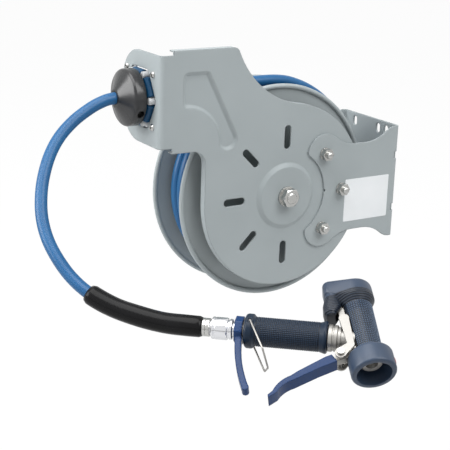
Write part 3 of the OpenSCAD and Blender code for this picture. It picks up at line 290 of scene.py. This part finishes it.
def ease(t):
    """A smooth step: 3 t^2 - 2 t^3 between 0 and 1."""
    t = np.clip(t, 0, 1)
    return t * t * (3 - 2 * t)


def about_hub(degrees, radius, y):
    """Points at an angle and a radius round the hub axis."""
    a = np.radians(degrees)
    y = np.broadcast_to(y, a.shape)
    return hub + np.stack([radius * np.cos(a), y, radius * np.sin(a)], -1)


angle = np.arange(wind_start - dive_angle, wind_start + wind_angle + dive_angle + 0.1, 4.0)
past_end = np.maximum(wind_start - angle, angle - wind_start - wind_angle)
dive = ease(past_end / (dive_angle - straight_angle))
wound_y = first_turn_y - turn_pitch * np.clip(angle - wind_start, 0, wind_angle) / 360
wound_path = about_hub(angle, wind_r + (dive_r - wind_r) * dive, wound_y)

leave_r, leave_y, over_r = 154.6 * mm, -4 * mm, 145 * mm
leave_start, leave_cross, risen_at, centred_at = -230.0, -20.0, 50.0, 60.0
groove_mid = front_wall + 8.6 * mm
a = np.arange(leave_start, 90.1, 15.0)
rise = np.where(a > leave_cross,
                leave_r + (over_r - leave_r) * ease((risen_at - a) / (risen_at - leave_cross)),
                over_r + (dive_r - over_r) * (leave_cross - a) / (leave_cross - leave_start))
leaving_y = leave_y + (groove_mid - leave_y) * ease((centred_at - a) / (centred_at - leave_cross))
leaving = about_hub(a, np.where(a > risen_at, leave_r, rise), leaving_y)
guide_y, guide_z, arm_reach = -7 * mm, 147 * mm, 203 * mm
past_hub, droop = np.array([60, 130, 170]) * mm, 1.5
to_guide = np.stack([hub[0] - past_hub, leave_y + (guide_y - leave_y) * past_hub / arm_reach,
                     leave_r + (guide_z - leave_r) * (past_hub / arm_reach) ** droop], 1)
free_loop = mm * np.array([
    [-401, -7, 147], [-440.45, -7, 147], [-460, -7, 142.5], [-478, -8, 134.5], [-500, -11.5, 122],
    [-522, -18, 105], [-540, -28, 85], [-555, -42, 61], [-565, -57, 38], [-571, -74, 16],
    [-572, -93, -5], [-568, -115, -25], [-560, -138, -43], [-548, -163, -57], [-530, -190, -68],
    [-510, -216, -74], [-489, -243, -77]])

# %% [markdown]
# The spray gun has its own frame: x runs forward along the grip and z points away from the
# trigger. The hose ends at the ferrule behind it, square to its axis.


# %% The gun's frame
def turned(rx, ry, rz):
    """Turn about X, then Y, then Z, in degrees."""
    c, s = np.cos(np.radians([rx, ry, rz])), np.sin(np.radians([rx, ry, rz]))
    about_x = np.array([[1, 0, 0], [0, c[0], -s[0]], [0, s[0], c[0]]])
    about_y = np.array([[c[1], 0, s[1]], [0, 1, 0], [-s[1], 0, c[1]]])
    about_z = np.array([[c[2], -s[2], 0], [s[2], c[2], 0], [0, 0, 1]])
    return about_z @ about_y @ about_x


gun_at = np.array([-412, -317.6, -75]) * mm
gun_turn = turned(-61, -1, -42.5)


def on_gun(points):
    """Points given in millimetres in the gun's frame, brought to the reel's frame."""
    return gun_at + mm * np.asarray(points, float) @ gun_turn.T


ferrule_x, seat_gap, straight_end = -57, 0.3, 20
hose_end = on_gun([[ferrule_x - straight_end, 0, 0], [ferrule_x - seat_gap, 0, 0]])
hose_points = np.vstack([leaving, to_guide, free_loop, hose_end])
path_step = 4 * mm
free_path = smooth_path(hose_points, path_step)
sleeve_mouth = free_loop[13]
sleeve_path = free_path[np.argmin(np.linalg.norm(free_path - sleeve_mouth, axis=1)):]
print("wound", round(length_of(wound_path), 3), "free", round(length_of(free_path), 3))

# %% [markdown]
# ## Hose
# The blue hose has a smooth, faintly wavy skin with the sheen of polyurethane rubber. Its colour
# is a little darker where the noise is low, and a very fine bump breaks up the highlight.


# %% Moulded finishes
def moulded(name, dark, light, rough, grain, depth, edge=0.0, shine=0.25,
            shaded_ribs=None, shaded_grooves_and_studs=None, shaded_ground=None):
    """Rubber or plastic: two close colours, a fine grain, and a roughness that wanders a little.
    Shaded ribs are (axis, start, low, high, pitch): fine ridges across an axis, between two heights
    on it, as a bump, with painted shade that darkens the whole ridged stretch and most of all its
    grooves.
    Shaded grooves and studs are two colours for a skin whose own attribute tells grooves and studs
    apart: the grooves' colour is painted shade, darker than the rubber, and the studs' colour is
    about the rubber's own. A shaded ground is (axis, start, low, high): painted shade, a near-black
    ground between two heights where separate studs stand."""
    f = Finish(name)
    cloud = f.spread(f.noise(14, 3), 0.3, 0.7)
    fine = f.noise(grain, 2)
    base = f.blend(cloud, shade(*dark), shade(*light))
    normal = f.soft_edges(edge) if edge else None
    # Painted shade: the grooves between the studs take a darker colour than the rubber.
    if shaded_grooves_and_studs:
        on_stud = f.node("ShaderNodeAttribute", {"attribute_name": "on_stud"}, out="Fac")
        base = f.blend(on_stud, *(shade(*colour) for colour in shaded_grooves_and_studs))
    if shaded_ground:
        axis, start, low, high = shaded_ground
        height = f.along(axis, start)
        inside = f.spread(height, low, low + mm) * f.spread(height, high, high - mm)
        # Painted shade: the ground between the studs is painted near black.
        base = f.blend(inside, base, shade(*(0.25 * np.array(dark))))
    if shaded_ribs:
        axis, start, low, high, pitch = shaded_ribs
        height = f.along(axis, start)
        wave = f.spread(f.math("PINGPONG", height * (1 / pitch), 0.5), 0.1, 0.3)
        ridged = f.spread(height, low, low + mm) * f.spread(height, high, high - 0.5 * mm)
        ridge = 1 - (1 - wave) * ridged
        # Painted shade: the ridged stretch is darkened, deepest in the grooves between the ridges.
        base = f.blend(ridged * (1 - 0.4 * wave), base, shade(*(0.45 * np.array(dark))))
        normal = f.bump(ridge, 0.8 * mm, 1.0, normal)
    normal = f.bump(fine, depth, 0.6, normal)
    return f.surface(Base_Color=base, Roughness=rough + 0.12 * (fine - 0.5) + 0.06 * cloud,
                     Specular_IOR_Level=shine, Normal=normal)


hose_finish = moulded("hose_blue", (26, 84, 132), (34, 97, 146), 0.3, 900, 0.00005, shine=0.35)

# %% Hose on the drum and hose to the gun
hose_sides = 28
from_hub = about_hub(angle, 1.0, 0.0) - hub
hose_on_drum = skin("hose_on_drum", tube_grid(wound_path, hose_r, hose_sides, from_hub))
hose_to_gun = skin("hose_to_gun", tube_grid(free_path, hose_r, hose_sides))
for piece, body, node in ((hose_on_drum, "drum", "hose_winding"),
                          (hose_to_gun, "frame", "hose_tail")):
    piece.data.materials.append(hose_finish)
    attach(piece, body)
    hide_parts(node)

# %% [markdown]
# Under the outer layer lie the inner ones. Only the tops of their turns could ever be seen, so
# they are one ring whose radius follows the turns: the layer's middle radius plus the rise of a
# circle of the hose's size, measured from the nearest turn on a slow helix.

# %% Inner layers on the drum
barrel_r, layer_gap, dip = 60.2 * mm, 0.6 * mm, 0.5 * mm
a = np.linspace(0, tau, 160, endpoint=False)
across = np.linspace(front_wall, rear_wall, 150)
A, Y = np.meshgrid(a, across)
from_turn = (Y - turn_pitch * A / tau + turn_pitch / 2) % turn_pitch - turn_pitch / 2
layer_r = np.where(Y > groove_wall, wind_r, dive_r) - 2 * hose_r - layer_gap
R = layer_r + np.sqrt(np.maximum(hose_r**2 - from_turn**2, dip**2))
outer = hub + np.stack([R * np.cos(-A), Y, R * np.sin(-A)], -1)
bore = hub + np.stack([barrel_r * np.cos(-A), Y, barrel_r * np.sin(-A)], -1)
inner_layers = skin("inner_layers", np.concatenate([bore[:1], outer, bore[-1:]]), hollow=True)
inner_layers.data.materials.append(hose_finish)
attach(inner_layers, "drum")
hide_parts("hose_core")

# %% [markdown]
# The black sleeve keeps the hose from kinking behind the gun. It is a second tube over the same
# route, a little uneven as rubber is, whose radius falls off at both ends in a short rounded lip.

# %% Bend sleeve
sleeve_r, lip, lip_drop = 12.75 * mm, 3 * mm, 1.6 * mm
ripple, ripple_length = 0.12 * mm, 9 * mm
run = np.linspace(0, length_of(sleeve_path), len(sleeve_path))
from_end = np.minimum(run, run[-1] - run)
sleeve_radius = (sleeve_r - lip_drop * (1 - ease(from_end / lip))
                 + ripple * np.sin(run / ripple_length))
bend_sleeve = skin("bend_sleeve", tube_grid(sleeve_path, sleeve_radius, 32))
sleeve_finish = moulded("sleeve_black", (13, 13, 14), (22, 22, 24), 0.2, 500, 0.00008, shine=0.14)
bend_sleeve.data.materials.append(sleeve_finish)
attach(bend_sleeve, "frame")
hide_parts("hose_sleeve")

# %% [markdown]
# ## Grip
# The grip is a soft rubber moulding covered in rows of small square studs, with a thick collar
# behind them and a rounded flange in front. Studs as separate pieces would be thousands of
# meshes, so it is one grid: a profile gives the radius along the axis, and two trapezoid waves
# press the grooves between the studs into it. Two dimples in the collar take the ends of the
# hold-open wire.

# %% Grip
grip_length, grip_r, collar_r, flange_r, bore_r = 88.0, 17.5, 20.5, 19.1, 13.05
collar_back, collar_front, collar_round, shoulder_round = -6.5, 1.5, 4, 3
flange_x, flange_round, plain_end = grip_length + 0.2, 2.5, 1.5
studs_along, studs_round, studs_from, studs_to, groove_depth = 34, 48, 7.5, 81, 0.6
rows_per_stud, columns_per_stud = 6, 5
dimple_r, dimple_edge, dimple_depth = 2.6, 1.0, 2.0


def land(phase, groove=0.36, wall=0.16):
    """A wave of period 1: 0 in the groove, 1 on the land, with straight walls between them."""
    return np.clip((0.5 * (1 - groove) + wall / 2 - np.abs(phase % 1 - 0.5)) / wall, 0, 1)


def arc(x, r, radius, start, end, count):
    """Points (x, r) on part of a circle. Angle 0 points away from the axis, and 90 along it."""
    t = np.radians(np.linspace(start, end, count))
    return np.stack([x + radius * np.sin(t), r + radius * np.cos(t)], 1)


studded = np.linspace(studs_from, studs_to, studs_along * rows_per_stud + 1)
collar_flat = np.linspace(-2, 1, 7)
profile = np.vstack([
    [[collar_back, bore_r]],
    arc(collar_back + collar_round, collar_r - collar_round, collar_round, -90, 0, 8),
    np.stack([collar_flat, np.full(len(collar_flat), collar_r)], 1),
    arc(collar_front, collar_r - shoulder_round, shoulder_round, 0, 75, 7),
    [[studs_from - plain_end, grip_r]],
    np.stack([studded, np.full(len(studded), grip_r)], 1),
    [[studs_to + plain_end, grip_r]],
    arc(flange_x, flange_r - flange_round, flange_round, -30, 90, 10),
    [[flange_x + flange_round, bore_r]]])
a = np.linspace(0, tau, studs_round * columns_per_stud, endpoint=False)
X, A = np.meshgrid(profile[:, 0], a, indexing="ij")
R = np.repeat(profile[:, 1:], len(a), axis=1)
along = (X - studs_from) / (studs_to - studs_from)
on_studs = (along >= 0) & (along <= 1)
on_land = land(along * studs_along) * land(A / tau * studs_round)
R = R - groove_depth * on_studs * (1 - on_land)
from_wire = np.hypot(X, R * np.sin(A))
R = R - dimple_depth * (1 - ease((from_wire - dimple_r) / dimple_edge)) * (R > grip_r)
grip_grid = on_gun(np.stack([X, R * np.cos(A), R * np.sin(A)], -1))
grip_skin = skin("grip_skin", grip_grid, hollow=True)
# The shader uses this mask to paint the grooves darker, as painted shade.
stud_mask = grip_skin.data.attributes.new("on_stud", "FLOAT", "POINT")
stud_mask.data.foreach_set("value", np.where(on_studs, on_land, 0.5).ravel())
print("grip faces", len(grip_skin.data.polygons))

# %% [markdown]
# The barrel's cover has the same studs, spaced wider. They stand on a cone, so each is one small
# truncated pyramid: four base corners sunk a little into the cover and four smaller top corners,
# all worked out at once.

# %% Studs on the barrel cover
rake, barrel_x = np.radians(72.5), 134.5
cover_low, cover_length, cover_low_r, cover_widening = -16.5, 66.5, 15.8, 1.8


def on_barrel(points):
    """Points in millimetres in the barrel's frame: x away from the grip, z up into the bulb."""
    p = np.asarray(points, float)
    away = np.array([np.sin(rake), 0, np.cos(rake)])
    up = np.array([-np.cos(rake), 0, np.sin(rake)])
    return on_gun([barrel_x, 0, 0] + p[..., :1] * away + p[..., 1:2] * [0, 1, 0] + p[..., 2:] * up)


def cover_radius(z):
    """The cover widens in a straight line from the bell up to the bulb."""
    return cover_low_r + cover_widening * (z - cover_low) / cover_length


stud_half, stud_sink, stud_rise = np.repeat([1.0, 0.62], 4), -0.3, 0.6
stud_angles, stud_heights = np.radians(np.linspace(-134, 134, 30)), np.arange(-14.5, 48, 2.7)
A, Z = (g.reshape(-1, 1) for g in np.meshgrid(stud_angles, stud_heights))
aside = np.array([-1, 1, 1, -1, -1, 1, 1, -1]) * stud_half
upward = np.array([-1, -1, 1, 1, -1, -1, 1, 1]) * stud_half
R = cover_radius(Z) + np.repeat([stud_sink, stud_rise], 4)
corners = np.stack([R * np.cos(A) - aside * np.sin(A), R * np.sin(A) + aside * np.cos(A),
                    Z + upward], -1)
sides = np.array([[4, 5, 6, 7], [3, 2, 1, 0], [0, 1, 5, 4], [1, 2, 6, 5], [2, 3, 7, 6],
                  [3, 0, 4, 7]])
quads = (np.arange(len(A))[:, None, None] * 8 + sides).reshape(-1, 4)
cover_studs = new_piece("cover_studs", on_barrel(corners), quads.tolist(), flat=len(quads))
print("studs", len(A))

# %% [markdown]
# ## Metal and moulded finishes
# Powder coat is a satin paint with a fine orange-peel skin. Plated and polished metal take their
# look from what they reflect, so only the roughness and a faint grain change over them. The gun's
# cast steel is satin, and rougher than the zinc of the bolts and the chrome of the coupling.


# %% Metal finishes
def powder_coat(name, dark, light, edge=0.0026):
    """Satin paint: slow cloudy shade, orange-peel bump, softened sheet edges."""
    f = Finish(name)
    cloud = f.spread(f.noise(7, 3), 0.3, 0.7)
    peel = f.noise(620, 1)
    return f.surface(Base_Color=f.blend(cloud, shade(*dark), shade(*light)),
                     Roughness=0.36 + 0.08 * cloud + 0.08 * peel, Specular_IOR_Level=0.35,
                     Normal=f.bump(peel, 0.00006, 0.5, f.soft_edges(edge)))


def metal(name, dark, light, rough, stretch=(1, 1, 1), grain=700, edge=0.0004):
    """Bare or plated metal: a stretched grain moves the colour, the roughness and a slight bump."""
    f = Finish(name)
    streak = f.noise(grain, 2, f.place(stretch))
    cloud = f.noise(30, 2)
    return f.surface(Base_Color=f.blend(streak, shade(*dark), shade(*light)), Metallic=1.0,
                     Roughness=rough + 0.1 * (streak - 0.5) + 0.06 * (cloud - 0.5),
                     Normal=f.bump(streak, 0.00001, 0.2, f.soft_edges(edge)))


# %% Table of finishes
# Metal: dark, light, roughness, stretch of the grain.
metals = {
    "zinc_steel": ((176, 176, 174), (202, 202, 199), 0.22),
    "stainless": ((150, 148, 144), (170, 168, 164), 0.46, (1, 1, 6)),
    "chrome": ((214, 215, 218), (228, 229, 232), 0.1),
    "brass": ((190, 160, 98), (210, 182, 122), 0.26),
    "spring_steel": ((92, 94, 98), (118, 120, 124), 0.32),
}
# Moulded: dark, light, roughness, grain, its depth, radius of the soft edges, shine.
mouldings = {
    "stop_black": ((30, 31, 33), (42, 43, 45), 0.2, 800, 0.00004, 0.0007, 0.5),
    "roller_blue": ((8, 58, 90), (14, 68, 104), 0.3, 600, 0.00005, 0.0006),
    "guide_pale": ((186, 188, 190), (206, 208, 210), 0.42, 700, 0.00006, 0.0005),
    "navy_rubber": ((30, 41, 58), (40, 53, 72), 0.36, 900, 0.00008, 0.0012),
    "trigger_blue": ((10, 44, 88), (15, 53, 101), 0.2, 700, 0.00001, 0.0016, 0.22),
    "hook_blue": ((12, 46, 90), (18, 55, 103), 0.2, 700, 0.00001, 0.003, 0.25),
    "seal_black": ((20, 20, 20), (30, 30, 30), 0.5, 700, 0.00005),
    "plate_white": ((230, 234, 236), (238, 241, 243), 0.4, 300, 0.00003, 0.0003),
    # The studs on the barrel cover are a lighter copy of the navy rubber: a painted highlight.
    "lit_navy_studs": ((70, 86, 108), (86, 102, 124), 0.42, 900, 0.00004, 0.0, 0.3),
    "inlay_red": ((150, 38, 48), (176, 52, 60), 0.35, 500, 0.00004),
}
grey_paint = (157, 165, 167), (165, 173, 175)
finishes = {"hose_blue": hose_finish, "sleeve_black": sleeve_finish}
finishes["powder_grey"] = powder_coat("powder_grey", *grey_paint)
finishes["pressed_grey"] = powder_coat("pressed_grey", *grey_paint, edge=0.0002)
# The grooves' darker colour is painted shade.
finishes["navy_grip"] = moulded("navy_grip", (30, 41, 58), (40, 53, 72), 0.3, 900, 0.00004,
                                shine=0.24, shaded_grooves_and_studs=((7, 14, 24), (29, 49, 71)))
finishes |= {name: metal(name, *row) for name, row in metals.items()}
finishes |= {name: moulded(name, *row) for name, row in mouldings.items()}

# %% [markdown]
# Each solid piece keeps its mesh and takes the finish of its slot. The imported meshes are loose
# triangles, so a Weld modifier joins them and an Edge Split modifier keeps only the real corners
# sharp.

# %% Dress the solid pieces
corner_angle = np.radians(28)
for row in frame["record"]["subparts"]:
    piece = nodes[row["node"]]
    piece.data.materials.clear()
    piece.data.materials.append(finishes[row["material_slot"]])
    piece.data.polygons.foreach_set("material_index", np.zeros(len(piece.data.polygons), np.int32))
    piece.data.polygons.foreach_set("use_smooth", np.ones(len(piece.data.polygons), bool))
    weld = piece.modifiers.new("weld", "WELD")
    weld.merge_threshold = 0.002 * mm
    split = piece.modifiers.new("split", "EDGE_SPLIT")
    split.split_angle = corner_angle

# %% [markdown]
# ## Blank plate, slope and inlay
# A thin white plate is stuck on the front cheek of the wall bracket, and here it is left blank.
# Its outline is a rectangle with rounded corners, carried through the plate's thickness.

# %% Blank plate
plate_low, plate_high = np.array([-94.5, -52]), np.array([-14.5, 12])
corner_r, nudge = 1.6, 1e-6
a = np.radians(np.arange(0, 360, 10))
middle, half = (plate_low + plate_high) / 2, (plate_high - plate_low) / 2 - corner_r
quarter = np.sign(np.stack([np.cos(a + nudge), np.sin(a + nudge)], 1))
outline = middle + half * quarter + corner_r * np.stack([np.cos(a), np.sin(a)], 1)
ring_y, ring_size = np.array([-66.4, -66.72, -66.8]), np.array([1.0, 1.0, 0.997])
rings = (outline - middle) * ring_size[:, None, None] + middle
ring_y = np.broadcast_to(ring_y[:, None], rings.shape[:2])
grid = np.stack([rings[..., 0], ring_y, rings[..., 1]], -1)
blank_plate = skin("blank_plate", mm * grid)

# %% [markdown]
# The recess in the guide arm is pressed, so its sides slope. The solid's sides are square, and a
# strip along them makes the slope: its cross-section falls from the plate's face to the floor of
# the recess in a soft S, and its back lies inside the sheet.

# %% Slope round the recess
plate_face, recess_depth, sheet, slope_width = -64.0, 3.5, 2.0, 5.0
sink, below_face = 0.3, 0.03


def recess_rim(inset):
    """The recess's outline moved inwards: five arcs, centre + radius * (cos, sin), joined by
    straight sides. Each row is an arc: its centre, its radius, and its first and last angle."""
    r, top, left, lean = 9 - inset, 187 - inset, inset - 170, 26
    arcs = np.array([[left + r, top - r, r, 180, 90], [-134, top - r, r, 90, lean],
                     [-98, 90, 17 - inset, lean, -152], [-164, 85, 51 + inset, 5, 84],
                     [left + r, 145, r, 270, 180]])
    cx, cz, radius, start, end = arcs.T[:, :, None]
    turn = np.radians(start + (end - start) * np.linspace(0, 1, 13))
    return np.stack([cx + radius * np.cos(turn), cz + radius * np.sin(turn)], -1).reshape(-1, 2)


t = np.linspace(0, 1, 10)
inset = np.append(sheet - sink + (slope_width + sink) * t, [sheet + slope_width, sheet - sink])
behind = recess_depth + sink
fall = np.append(below_face + recess_depth * ease(t), [behind, behind])
rims = np.stack([recess_rim(i) for i in inset], 1)
rim_y = np.broadcast_to(plate_face + fall, rims.shape[:2])
grid = np.stack([rims[..., 0], rim_y, rims[..., 1]], -1)
recess_slope = skin("recess_slope", hub + mm * grid, hollow=True)

# %% [markdown]
# The small red inlay in the side of the bell is a shallow dome that follows the bell's round
# side: its height falls with the fourth power of the distance from its middle.

# %% Red inlay
bell_r, inlay_at, inlay_z = 26.5, np.radians(-3.0), -36.0
inlay_r, inlay_sink, inlay_rise = 5.2, 0.25, 0.9
outwards, around = np.linspace(1, 0.02, 9), np.linspace(0, tau, 36, endpoint=False)
t, a = np.meshgrid(outwards, around, indexing="ij")
at, up = inlay_at + inlay_r * t * np.cos(a) / bell_r, inlay_z + inlay_r * t * np.sin(a)
R = bell_r - inlay_sink + inlay_rise * (1 - t**4)
inlay = skin("inlay", on_barrel(np.stack([R * np.cos(at), R * np.sin(at), up], -1)))

# %% Dress the new pieces
for piece, body, slot, finish in ((grip_skin, "gun", "navy_rubber", "navy_grip"),
                                  (cover_studs, "gun", "navy_rubber", "lit_navy_studs"),
                                  (blank_plate, "frame", "powder_grey", "plate_white"),
                                  (recess_slope, "frame", "powder_grey", "pressed_grey"),
                                  (inlay, "gun", "trigger_blue", "inlay_red")):
    piece.data.materials.append(finishes[finish])
    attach(piece, body)
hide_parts("grip")

# %% [markdown]
# Three solid pieces get a finish of their own. The hook is rounder than its solid, so its edges are
# softened more. The valve stem shows as steel. The head of the gun has the grip's rubber, with fine
# ridges round the slope under its bulb and painted shade on that slope, darkest in the grooves, and
# a near-black ground of painted shade between the studs. The ridges are too shallow to change the
# outline, so a bump across the barrel's axis is enough.

# %% Hook, stem and head
barrel_start = on_barrel([0.0, 0.0, 0.0])
barrel_axis = tuple(unit(on_barrel([0.0, 0.0, 100.0]) - barrel_start).tolist())
ridges_low, ridges_high, ridge_pitch = 36 * mm, 64.5 * mm, 2.4 * mm
ground_low, ground_high = -16.5 * mm, 37 * mm
nodes["hanging_hook"].data.materials[0] = finishes["hook_blue"]
nodes["valve_stem"].data.materials[0] = finishes["stainless"]
nodes["head_cover"].data.materials[0] = moulded(
    "navy_head", (42, 56, 76), (54, 69, 90), 0.34, 900, 0.00008, 0.0012, shine=0.45,
    shaded_ribs=(barrel_axis, barrel_start, ridges_low, ridges_high, ridge_pitch),
    shaded_ground=(barrel_axis, barrel_start, ground_low, ground_high))

# %% [markdown]
# ## Return spring
# Inside the bulb a small coil spring pushes the valve stem back when the trigger is let go. A solid
# can't shorten, so the spring is made again as a tube along a helix.

# %% Return spring
coil_turns, coil_r, wire_r, coil_low, coil_high = 4, 7.0, 0.7, 58.8, 71.2
steps_per_turn, bulb_roof, stem_travel = 24, 72.0, 3.52
a = np.linspace(0, tau * coil_turns, coil_turns * steps_per_turn + 1)
climb = np.linspace(coil_low, coil_high, len(a))
coil = on_barrel(np.stack([coil_r * np.cos(a), coil_r * np.sin(a), climb], 1))
return_spring = skin("return_spring", tube_grid(coil, wire_r * mm, 8, barrel_axis))
return_spring.data.materials.append(finishes["spring_steel"])
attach(return_spring, "gun")
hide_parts("valve_spring")
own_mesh(return_spring)

# %% [markdown]
# ## Studio
# The background of the picture is plain white, so rays straight from the camera see a white floor
# and a white world. Metal mirrors the white world, but mostly the lit paper below it. All other
# rays see a softer grey, so that the reel isn't flooded with light from below.

# %% Floor
floor_z, floor_half = -0.42, 6
seen_share, metal_share, paper_white, paper_grey = 0.93, 0.12, 1.03, 0.65
corners = floor_half * np.array([[-1, -1, 0], [1, -1, 0], [1, 1, 0], [-1, 1, 0]]) + [0, 0, floor_z]
floor = new_piece("floor", corners, [[0, 1, 2, 3]])
paper = Finish("paper")
by_metal = paper.node("ShaderNodeLightPath", out="Is Glossy Ray") * metal_share
seen = paper.math("MAXIMUM", by_metal, paper.node("ShaderNodeLightPath", out="Is Camera Ray"))
lit = paper.node("ShaderNodeBsdfDiffuse", None, {"Color": (paper_grey, paper_grey, paper_grey, 1)})
white = paper.node("ShaderNodeEmission", None, {"Color": (1, 1, 1, 1), "Strength": paper_white})
both = paper.node("ShaderNodeMixShader", None, {0: seen * seen_share, 1: lit, 2: white})
floor.data.materials.append(paper.show(both))

# %% World
soft_level, white_level = 0.25, 1.0
world = bpy.data.worlds.new("studio")
world.use_nodes = True
sky = world.node_tree
back = sky.nodes["Background"]
rays = sky.nodes.new("ShaderNodeLightPath")
shown_to = rays.outputs["Is Camera Ray"]
for kind in ("Is Glossy Ray", "Is Transmission Ray"):
    either = sky.nodes.new("ShaderNodeMath")
    either.operation = "MAXIMUM"
    sky.links.new(shown_to, either.inputs[0])
    sky.links.new(rays.outputs[kind], either.inputs[1])
    shown_to = either.outputs[0]
level = sky.nodes.new("ShaderNodeMapRange")
level.inputs["To Min"].default_value = soft_level
level.inputs["To Max"].default_value = white_level
sky.links.new(shown_to, level.inputs["Value"])
sky.links.new(level.outputs["Result"], back.inputs["Strength"])
back.inputs["Color"].default_value = (1, 1, 1, 1)
bpy.context.scene.world = world

# %% [markdown]
# Three large soft lamps do the rest. The key lamp stands in front, to the right and above. The
# side lamp stands to the left and behind the front plate, so that it lights what faces left and
# leaves the plate alone. The top lamp puts the highlights on the gun.


# %% Lamps
def lamp(name, at, towards, size, watts):
    """A square soft lamp whose own -Z axis points at a place."""
    data = bpy.data.lights.new(name, "AREA")
    data.size, data.energy = size, watts
    z = unit(np.array(at, float) - np.array(towards, float))
    x_axis = unit(np.cross([0.0, 0.0, 1.0], z) + [1e-6, 0, 0])
    m = np.eye(4)
    m[:3, :3] = np.stack([x_axis, np.cross(z, x_axis), z], 1)
    m[:3, 3] = at
    made = bpy.data.objects.new(name, data)
    made.matrix_world = Matrix(m.tolist())
    bpy.context.scene.collection.objects.link(made)


aim = (-0.25, -0.05, 0.0)
lamp("key", (0.5, -2.0, 2.2), aim, 2.0, 58)
lamp("side", (-2.6, 0.7, 1.0), aim, 1.6, 50)
lamp("top", (-1.1, -0.1, 2.4), aim, 2.2, 60)

# %% View settings
bpy.context.scene.view_settings.view_transform = "Standard"
